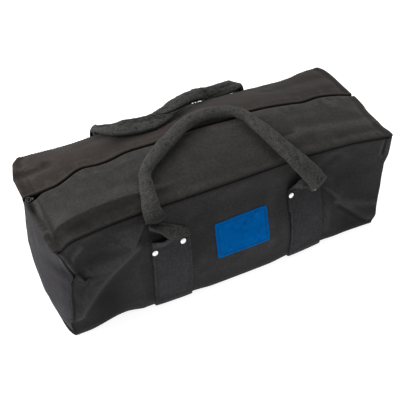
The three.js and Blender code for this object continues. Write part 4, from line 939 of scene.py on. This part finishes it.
def handle(name, side):
    """A strip of webbing: flat under the band, gathered, rolled to a grip with its edges meeting, and back."""
    s_of = lambda r: r if side < 0 else 3 - r
    m = 49
    u = np.linspace(-1, 1, m)
    rows, share, marks, edge_gap = [], [], {}, 0.5 if side < 0 else 1.3

    def flat(which, sign):
        for r in np.linspace(TUCK, BAND_END[which] + 0.005, 5)[::sign]:
            x = STRAP_X[which] + sign * u * WEB_W / 2
            rows.append(on_main(x, np.full(m, s_of(r)), GAP + WEB_T / 2))
            share.append(0.0)

    def foot(which, table):
        for k, row in enumerate(table):
            marks[which, k] = len(rows)
            rows.append(np.stack([column(np.array([-1, -0.5, 0, 0.5, 1.0]), row[:, k], u) for k in range(3)], -1))
            share.append(0.5)

    def roll():
        tab = HANDLES[name]
        run = arc(tab[:, :3])
        at = np.linspace(0, run[-1], int(run[-1] / 3))
        P = np.stack([column(run, tab[:, k], at) for k in range(3)], -1)
        f, wd, lean, tk, spin = [column(run, tab[:, k], at) for k in range(3, 8)]
        f, lean, spin = np.clip(f, 0, 1), np.radians(lean), np.radians(spin)
        N = np.stack([0 * lean, side * np.cos(lean), np.sin(lean)], -1)
        T = unit(np.gradient(P, axis=0))
        W = unit(np.cross(T, N) if side < 0 else np.cross(N, T))
        N = unit(np.cross(W, T) if side < 0 else np.cross(T, W))
        for i in range(len(at)):
            a, b = (wd[i] - WEB_T) / 2, (tk[i] - WEB_T) / 2
            s, ang = ellipse_turn(a, b)
            girth = s[-1] - edge_gap
            if f[i] > 0.999:
                t = np.linspace(-math.pi, math.pi, len(s))
                start = np.interp(spin[i], t, s) if spin[i] <= math.pi else np.interp(spin[i] - 2 * math.pi, t, s) + 2 * s[-1]
                q = np.interp((u * girth + start + s[-1]) % (2 * s[-1]) - s[-1], s, t)
                xs, ys = a * np.sin(q), b * np.cos(q)
            else:
                turn = np.interp(u * girth, s, ang) * f[i]
                step = np.diff(u) * lerp(WEB_W / 2, girth, f[i])
                mid = (turn[1:] + turn[:-1]) / 2
                xs, ys = np.concatenate([[0], np.cumsum(np.cos(mid) * step)]), np.concatenate([[0], np.cumsum(-np.sin(mid) * step)])
                xs, ys = xs - xs[m // 2], ys - ys[m // 2] + f[i] * b
                ca, sa = math.cos(spin[i]), math.sin(spin[i])
                xs, ys = xs * ca + ys * sa, ys * ca - xs * sa
            rows.append(P[i] + W[i] * xs[:, None] + N[i] * ys[:, None])
            share.append(f[i])

    flat("left", 1)
    if side < 0:
        foot("left", LEFT_FOOT)
    roll()
    if side < 0:
        foot("right", RIGHT_FOOT)
    flat("right", -1)
    rows, share = np.array(rows), np.array(share)
    run = np.concatenate([[0], np.cumsum(np.linalg.norm(np.diff(rows, axis=0), axis=-1).mean(1))])
    at = np.linspace(0, run[-1], int(run[-1] / 1.5))
    g = np.stack([np.stack([column(run, rows[:, j, k], at) for k in range(3)], -1) for j in range(m)], 1)
    f = np.clip(np.interp(at, run, share), 0, 1)
    n = grid_normals(g)
    first = main_normal(np.array([STRAP_X["left"]]), np.array([s_of(0.45)]))[0]
    n = n * np.sign(n[4, m // 2] @ first)
    # lumps of the rolled cloth, and creases across it where it bends sharply
    lump = f[:, None] * (0.5 * noise(at[:, None] / 9, u[None, :] * 5, 81 + side) + 0.25 * noise(at[:, None] / 4, u[None, :] * 12, 85 + side))
    T = unit(np.gradient(g.mean(1), axis=0))
    bend = np.linalg.norm(np.gradient(T, axis=0), axis=-1) / np.gradient(at)
    crease = (f[:, None] > 0.9) * np.clip(bend * 22, 0, 1)[:, None] * (-0.6 * np.abs(np.sin(at / 5.2))[:, None] ** 3) * (0.6 + 0.4 * np.cos(u * math.pi))[None, :]
    # one edge of the roll stands over the other
    lap = (0.9 if side > 0 else 0.3) * (f > 0.95)[:, None] * smooth(0.86, 0.99, u)[None, :]
    g = g + n * (WEB_T / 2 + lump + crease + lap)[..., None]
    uv = np.stack(np.broadcast_arrays((u[None, :] + 1) * 25, at[:, None]), -1)
    # Worn edges, with painted highlights on the right foot's lit fold and on the left foot's spoon; painted shade along
    # the roll's meeting edges, in the left foot's hollow and at the roll's lower end.
    wear_and_highlight = 0.3 * np.abs(u[None, :]) ** 12 + 0 * at[:, None]
    shade = 0.25 * np.abs(u[None, :]) ** 30 * f[:, None]
    if side < 0:
        mark = lambda which, k: at - run[marks[which, k]]
        wear_and_highlight = wear_and_highlight + 0.9 * bell(mark("right", 0), 1.5)[:, None] * smooth(0.8, 0.6, np.abs(u))[None, :] + 0.5 * bell(mark("left", 2), 2.2)[:, None] + 2.0 * bell(mark("left", 2) - 6, 5)[:, None] * smooth(0.95, 0.7, np.abs(u))[None, :]
        shade = shade + 0.6 * (bell(mark("left", 0), 7) + bell(mark("left", 1) + 2, 6))[:, None] * smooth(0.15, -0.2, u)[None, :] + 0.9 * (smooth(-8, 0, mark("left", 4)) * smooth(34, 12, mark("left", 4)))[:, None]
    flip = np.sign((grid_normals(g)[:, m // 2] * n[:, m // 2]).sum())
    cloth(f"grip_{name}", g, WEB_T, flip, MAT["grip"], uv=uv, wear_and_highlight=wear_and_highlight, shade=shade)
    return run[-1]


paths = {"front": handle("front", -1), "rear": handle("rear", 1)}


# --------------------------------------------------------------------- rivets
def lathe(profile, segments):
    """profile (r, h) from the axis outwards; returns points with the axis along +z, and faces."""
    prof = np.array(profile, float)
    t = np.arange(segments) * 2 * math.pi / segments
    v = np.stack([prof[:, 0][:, None] * np.cos(t), prof[:, 0][:, None] * np.sin(t), np.repeat(prof[:, 1][:, None], segments, 1)], -1).reshape(-1, 3)
    q = []
    for i in range(len(prof) - 1):
        a = i * segments + np.arange(segments)
        b = i * segments + (np.arange(segments) + 1) % segments
        q.append(np.stack([a, b, b + segments, a + segments], 1))
    return v, np.concatenate(q)


def turned(v, at, out):
    z = np.array(out, float)
    x = unit(np.cross([0.13, 0.2, 1.0], z))
    y = np.cross(z, x)
    return np.asarray(at) + v[:, :1] * x + v[:, 1:2] * y + v[:, 2:] * z


FACE_OFF = 2 * (GAP + WEB_T) + 0.35
R = RIVET_HEAD / 2
HEAD = [(0.01, -9.8), (3.3, -9.8), (3.7, -9.4), (3.7, -8.6), (1.8, -8.5), (1.8, 0.0), (R - 0.3, 0.0), (R, 0.25), (R, 0.65), (R - 0.35, 0.95), (R - 0.9, 1.0),
        (R - 1.25, 1.06), (R * 0.62, 1.3), (R * 0.4, 1.45), (R * 0.2, 1.52), (0.01, 1.55)]
for side, name in ((-1, "front"), (1, "rear")):
    spots = [(STRAP_X[k] + RIVET_SHIFT[k] + d * RIVET_PITCH / 2, RIVET_ROW[k][(d + 1) // 2]) for k in ("left", "right") for d in (-1, 1)]
    for i, (x, row) in enumerate(spots):
        s = np.array([row if side < 0 else 3 - row])
        at, out = main_point(np.array([x]), s)[0], main_normal(np.array([x]), s)[0]
        v, q = lathe(HEAD, 32)
        new_object(f"rivet_head_{name}_{i + 1}", turned(v, at + out * FACE_OFF, out), [q], material=MAT["rivet"])


# ------------------------------------------------------------------------ zip
def ridge_line(x):
    return np.stack([x, zip_y(x), section(x, "ridge")], -1)


ZX = np.linspace(-221, 212, 300)
for which, sgn in (("front", -1), ("rear", 1)):
    w = np.linspace(0.6, TAPE_W / 2, 8)
    c = ridge_line(ZX)
    g = np.stack([c + np.array([0, sgn * k, -(HEM + 0.6) - 0.004 * k * k]) for k in w], 1)
    cloth(f"zip_tape_{which}", g, 1.0, -1 if sgn > 0 else 1, MAT["tape"])
tooth = np.array([(-0.55, -1.9, -0.9), (0.55, -1.9, -0.9), (0.55, 0.9, -0.9), (-0.55, 0.9, -0.9), (-0.45, -1.7, 0.9), (0.45, -1.7, 0.9), (0.4, 0.7, 0.8), (-0.4, 0.7, 0.8)])
TOOTH_FACES = np.array([(0, 3, 2, 1), (4, 5, 6, 7), (0, 1, 5, 4), (1, 2, 6, 5), (2, 3, 7, 6), (3, 0, 4, 7)])
tv, tq = [], []
for k, x in enumerate(np.arange(-219, 211, 1.35)):
    sgn = 1 if k % 2 else -1
    c = ridge_line(np.array([x]))[0] + np.array([0, 0, -(HEM - 0.5)])
    v = tooth * [1, -sgn, 1]
    tq.append((TOOTH_FACES if sgn < 0 else TOOTH_FACES[:, ::-1]) + 8 * k)
    tv.append(v + c)
new_object("zip_teeth", np.concatenate(tv), [np.concatenate(tq)], material=MAT["teeth"], smooth_shade=False)


def slider():
    x = -224.0
    c = ridge_line(np.array([x]))[0]
    v, q = [], []

    def block(pts_low, pts_high):
        k = len(v) and sum(len(a) for a in v)
        n = len(pts_low)
        v.append(np.concatenate([pts_low, pts_high]))
        ring = np.arange(n)
        nx = np.roll(ring, -1)
        q.append(np.stack([ring, nx, nx + n, ring + n], 1) + k)
        return n, k

    out_v, faces4, facesn = [], [], []

    def prism(outline, z0, z1, bevel):
        base = sum(len(a) for a in out_v)
        o = np.array(outline, float)
        mid = o.mean(0)
        inn = mid + (o - mid) * (1 - bevel)
        rings = [np.c_[inn, np.full(len(o), z0)], np.c_[o, np.full(len(o), z0 + 0.35)], np.c_[o, np.full(len(o), z1 - 0.35)], np.c_[inn, np.full(len(o), z1)]]
        out_v.append(np.concatenate(rings))
        n = len(o)
        r = np.arange(n)
        for k in range(3):
            faces4.append(np.stack([r, np.roll(r, -1), np.roll(r, -1) + n, r + n], 1) + base + k * n)
        facesn.append((r[::-1] + base)[None])
        facesn.append((r + base + 3 * n)[None])

    body = [(-6, -2.4), (-2, -2.7), (3, -3.6), (5.4, -2.6), (6, -1.2), (6, 1.2), (5.4, 2.6), (3, 3.6), (-2, 2.7), (-6, 2.4), (-6.8, 1), (-6.8, -1)]
    prism(body, -2.2, -0.9, 0.08)
    prism(body, 0.2, 1.4, 0.1)
    prism([(-4, -0.9), (2, -0.9), (2.6, 0), (2, 0.9), (-4, 0.9), (-4.6, 0)], 1.3, 2.7, 0.15)
    V = np.concatenate(out_v) * [0.62, 0.7, 0.7] + c + np.array([-7.5, 0, -3.4])
    # pull ring
    t, p = np.linspace(0, 2 * math.pi, 29)[:-1], np.linspace(0, 2 * math.pi, 11)[:-1]
    ring = np.stack([(2.7 + 0.75 * np.cos(p)[None, :]) * np.cos(t)[:, None] * 1.15, (2.7 + 0.75 * np.cos(p)[None, :]) * np.sin(t)[:, None], np.repeat(0.75 * np.sin(p)[None, :], len(t), 0)], -1)
    tilt = 0.5
    ring = np.stack([ring[..., 0], ring[..., 1] * math.cos(tilt) - ring[..., 2] * math.sin(tilt), ring[..., 1] * math.sin(tilt) + ring[..., 2] * math.cos(tilt)], -1)
    base = len(V)
    V = np.concatenate([V, ring.reshape(-1, 3) + c + np.array([-10.5, -2.6, -1.0])])
    i, j = np.meshgrid(np.arange(len(t)), np.arange(len(p)), indexing="ij")
    a, b2 = i * len(p) + j, i * len(p) + (j + 1) % len(p)
    c2, d2 = ((i + 1) % len(t)) * len(p) + (j + 1) % len(p), ((i + 1) % len(t)) * len(p) + j
    rq = np.stack([a, d2, c2, b2], -1).reshape(-1, 4) + base
    new_object("zip_pull", V, [np.concatenate(faces4), rq] + facesn, material=MAT["slider"], smooth_shade=False)


slider()

# ---------------------------------------------------------------------- label
LX, LZ = np.linspace(LABEL["left"], LABEL["right"], 56), np.linspace(LABEL["high"], LABEL["low"], 40)
X, Z = np.meshgrid(LX, LZ, indexing="ij")
corner = 3.0
# slightly rounded corners and a hand-sewn, not quite straight edge
cx, cz = (LABEL["left"] + LABEL["right"]) / 2, (LABEL["low"] + LABEL["high"]) / 2
hx, hz = (LABEL["right"] - LABEL["left"]) / 2, (LABEL["high"] - LABEL["low"]) / 2
qx, qz = (X - cx) / hx, (Z - cz) / hz
pull = 1 - 0.022 * (np.abs(qx) ** 8) * (np.abs(qz) ** 8)
X2 = cx + (X - cx) * pull + 0.35 * noise(Z / 9, 0, 91) * np.abs(qx) ** 6
Z2 = cz + (Z - cz) * pull + 0.35 * noise(X / 9, 3, 93) * np.abs(qz) ** 6
t = 1 - height_to_t(X2, Z2, -1)
pad = 0.35 * (1 - np.maximum(np.abs(qx), np.abs(qz)) ** 10) + 0.12 * noise(X / 6, Z / 6, 95)
g = on_main(X2, t, GAP + 0.7 + pad)
uv = np.stack([X - LABEL["left"], LABEL["high"] - Z], -1)
cloth("label_patch", g, 0.9, 1, MAT["label"], uv=uv, wear_and_highlight=0.3 * np.maximum(np.abs(qx), np.abs(qz)) ** 30)
label_grid = g


# ------------------------------------------------------------------- stitching
def stitches(name, lines, material, length=3.1, gap=1.1, radius=0.42, height=0.5):
    """Thread along lines of (points, normals): each stitch is a small bulged strand that dips in at both ends."""
    ring, st = 6, 6
    ang = np.arange(ring) * 2 * math.pi / ring
    along_t = np.linspace(0, 1, st)
    prof = np.array([0.35, 0.85, 1, 1, 0.85, 0.35])
    rise = np.array([-0.5, 0.45, 0.9, 0.9, 0.45, -0.5]) * height
    V, Q, C = [], [], []
    count = 0
    for pts, nrm in lines:
        pts, nrm = np.asarray(pts, float), np.asarray(nrm, float)
        s = arc(pts)
        starts = np.arange(gap, s[-1] - length - 0.5, length + gap)
        if not len(starts):
            continue
        at = starts[:, None] + along_t[None, :] * length
        c = np.stack([np.interp(at, s, pts[:, k]) for k in range(3)], -1)
        n = unit(np.stack([np.interp(at, s, nrm[:, k]) for k in range(3)], -1))
        d = unit(np.gradient(c, axis=1))
        w = unit(np.cross(d, n))
        c = c + n * rise[None, :, None]
        v = c[:, :, None] + radius * prof[None, :, None, None] * (w[:, :, None] * np.cos(ang)[None, None, :, None] + n[:, :, None] * np.sin(ang)[None, None, :, None])
        k = len(starts)
        V.append(v.reshape(-1, 3))
        i, j = np.meshgrid(np.arange(st - 1), np.arange(ring), indexing="ij")
        a = i * ring + j
        b = i * ring + (j + 1) % ring
        q = np.stack([a, b, b + ring, a + ring], -1).reshape(-1, 4)
        offs = count + np.arange(k)[:, None, None] * st * ring
        Q.append((q[None] + offs).reshape(-1, 4))
        caps0 = (np.arange(ring)[::-1][None] + offs[:, 0]).reshape(-1, ring)
        caps1 = (np.arange(ring)[None] + (st - 1) * ring + offs[:, 0]).reshape(-1, ring)
        C += [caps0, caps1]
        count += k * st * ring
    uv = np.concatenate([v[:, :2] for v in V])
    return new_object(name, np.concatenate(V), [np.concatenate(Q)] + C, uv=uv, tone=np.zeros((count, 3)), material=material)


def grid_line(g, flip, j=None, i=None, off=0.0):
    n = grid_normals(g) * flip
    pts, nn = (g[:, j], n[:, j]) if j is not None else (g[i, :], n[i, :])
    return pts + nn * off, nn


lines = []
for side, name in ((-1, "front"), (1, "rear")):
    g, flip = top_grids[name], (-1 if side < 0 else 1)
    across = arc(g[len(COLS) // 2])
    for d in (6.5,):
        lines.append(grid_line(g, flip, j=int(np.argmin(np.abs(across - d)))))
    lines.append(grid_line(g, flip, j=int(np.argmin(np.abs(across - (across[-1] - 14))))))
stitches("stitches_top", lines, MAT["thread"], radius=0.28, height=0.3)

lines = []
for i in (5, len(COLS) - 6):
    lines.append(grid_line(main_grid, 1, i=i))
    for side, name in ((-1, "front"), (1, "rear")):
        lines.append(grid_line(top_grids[name][:, 9:-8], -1 if side < 0 else 1, i=i))
stitches("stitches_ends", lines, MAT["thread"], radius=0.28, height=0.3)

lines = []
for name, x0 in STRAP_X.items():
    for s in (np.linspace(BAND_END[name] + 0.02, 0.99, 120), np.linspace(2.01, 3 - BAND_END[name] - 0.02, 120)):
        row = np.where(s < 1.5, s, 3 - s)
        off = band_off(row) + WEB_T - 0.05
        for dx in (-21.5, 21.5):
            x = np.full_like(s, x0 + dx)
            lines.append((on_main(x, s, off), main_normal(x, s)))
stitches("stitches_bands", lines, MAT["thread"], length=3.4, gap=1.2)

n_label = grid_normals(label_grid)
n_label = n_label * np.sign(-n_label[..., 1:2])
i0, i1, j0, j1 = 3, 52, 3, 36
loop = [(i, j0) for i in range(i0, i1)] + [(i1, j) for j in range(j0, j1)] + [(i, j1) for i in range(i1, i0, -1)] + [(i0, j) for j in range(j1, j0 - 1, -1)]
li, lj = np.array(loop).T
stitches("stitches_label", [(label_grid[li, lj], n_label[li, lj])], MAT["label_thread"], length=2.4, gap=0.7, radius=0.36, height=0.3)

# ------------------------------------------------------- bodies, and the CAD parts hidden
for name, o in made.items():
    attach(o, "root")
for node, names in {"main_panel": ["canvas_main"], "top_panel_front": ["canvas_top_front"], "top_panel_rear": ["canvas_top_rear"],
                    "end_panel_left": ["canvas_end_left"], "end_panel_right": ["canvas_end_right"], "strap_left": ["band_left"], "strap_right": ["band_right"],
                    "handle_front": ["grip_front"], "handle_rear": ["grip_rear"], "zip": ["zip_tape_front", "zip_tape_rear", "zip_teeth"], "zip_slider": ["zip_pull"], "label": ["label_patch"],
                    **{f"rivet_{s}_{i}": [f"rivet_head_{s}_{i}"] for s in ("front", "rear") for i in (1, 2, 3, 4)}}.items():
    for n in names:
        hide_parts(node)

# ---------------------------------------------------------- floor, light, camera
floor = bpy.data.objects.new("floor", bpy.data.meshes.new("floor"))
floor.data.from_pydata([(-4, -4, -0.0004), (4, -4, -0.0004), (4, 4, -0.0004), (-4, 4, -0.0004)], [], [(0, 1, 2, 3)])
scene.collection.objects.link(floor)
fm, ft, fp = nodes_of("floor_paper")
fp.inputs["Base Color"].default_value = (0.4, 0.4, 0.4, 1)
fp.inputs["Emission Color"].default_value = (1, 1, 1, 1)
fp.inputs["Emission Strength"].default_value = 0.85
fp.inputs["Roughness"].default_value = 0.95
fp.inputs["Specular IOR Level"].default_value = 0.1
floor.data.materials.append(fm)

world = bpy.data.worlds.new("studio")
scene.world = world
world.use_nodes = True
bg = world.node_tree.nodes["Background"]
bg.inputs[0].default_value = (1.0, 1.0, 1.0, 1)
bg.inputs[1].default_value = 0.62


def area(name, at, look, size, power, colour=(1, 1, 1)):
    l = bpy.data.lights.new(name, "AREA")
    l.shape, l.size, l.energy, l.color = "DISK", size, power, colour
    o = bpy.data.objects.new(name, l)
    scene.collection.objects.link(o)
    o.location = at
    o.rotation_euler = (Vector(look) - Vector(at)).to_track_quat("-Z", "Y").to_euler()
    return o


area("key", (-1.7, 0.35, 1.5), (0, 0, 0.08), 1.1, 42, (1.0, 0.99, 0.97))
area("over", (0.25, 0.7, 2.1), (0, 0, 0.1), 1.6, 26)

cam = bpy.data.cameras.new("photo_camera")
cam.sensor_width, cam.lens, cam.clip_start, cam.clip_end = 36.0, 71.53, 0.05, 20
cam_o = bpy.data.objects.new("photo_camera", cam)
scene.collection.objects.link(cam_o)
yaw, pitch, roll_a = math.radians(25.765853), math.radians(42.977525), math.radians(-0.306328)
d = np.array([math.sin(yaw) * math.cos(pitch), math.cos(yaw) * math.cos(pitch), -math.sin(pitch)])
r = np.array([math.cos(yaw), -math.sin(yaw), 0.0])
up = np.cross(r, d)
r2, u2 = r * math.cos(roll_a) + up * math.sin(roll_a), -r * math.sin(roll_a) + up * math.cos(roll_a)
C = 0.45 * (np.array([0, 0, 0.15]) - d * 2.40226 + r2 * -0.01449887 + u2 * -0.01205299)
cam_o.matrix_world = Matrix(((r2[0], u2[0], -d[0], C[0]), (r2[1], u2[1], -d[1], C[1]), (r2[2], u2[2], -d[2], C[2]), (0, 0, 0, 1)))
scene.camera = cam_o
scene.view_settings.view_transform = "Standard"

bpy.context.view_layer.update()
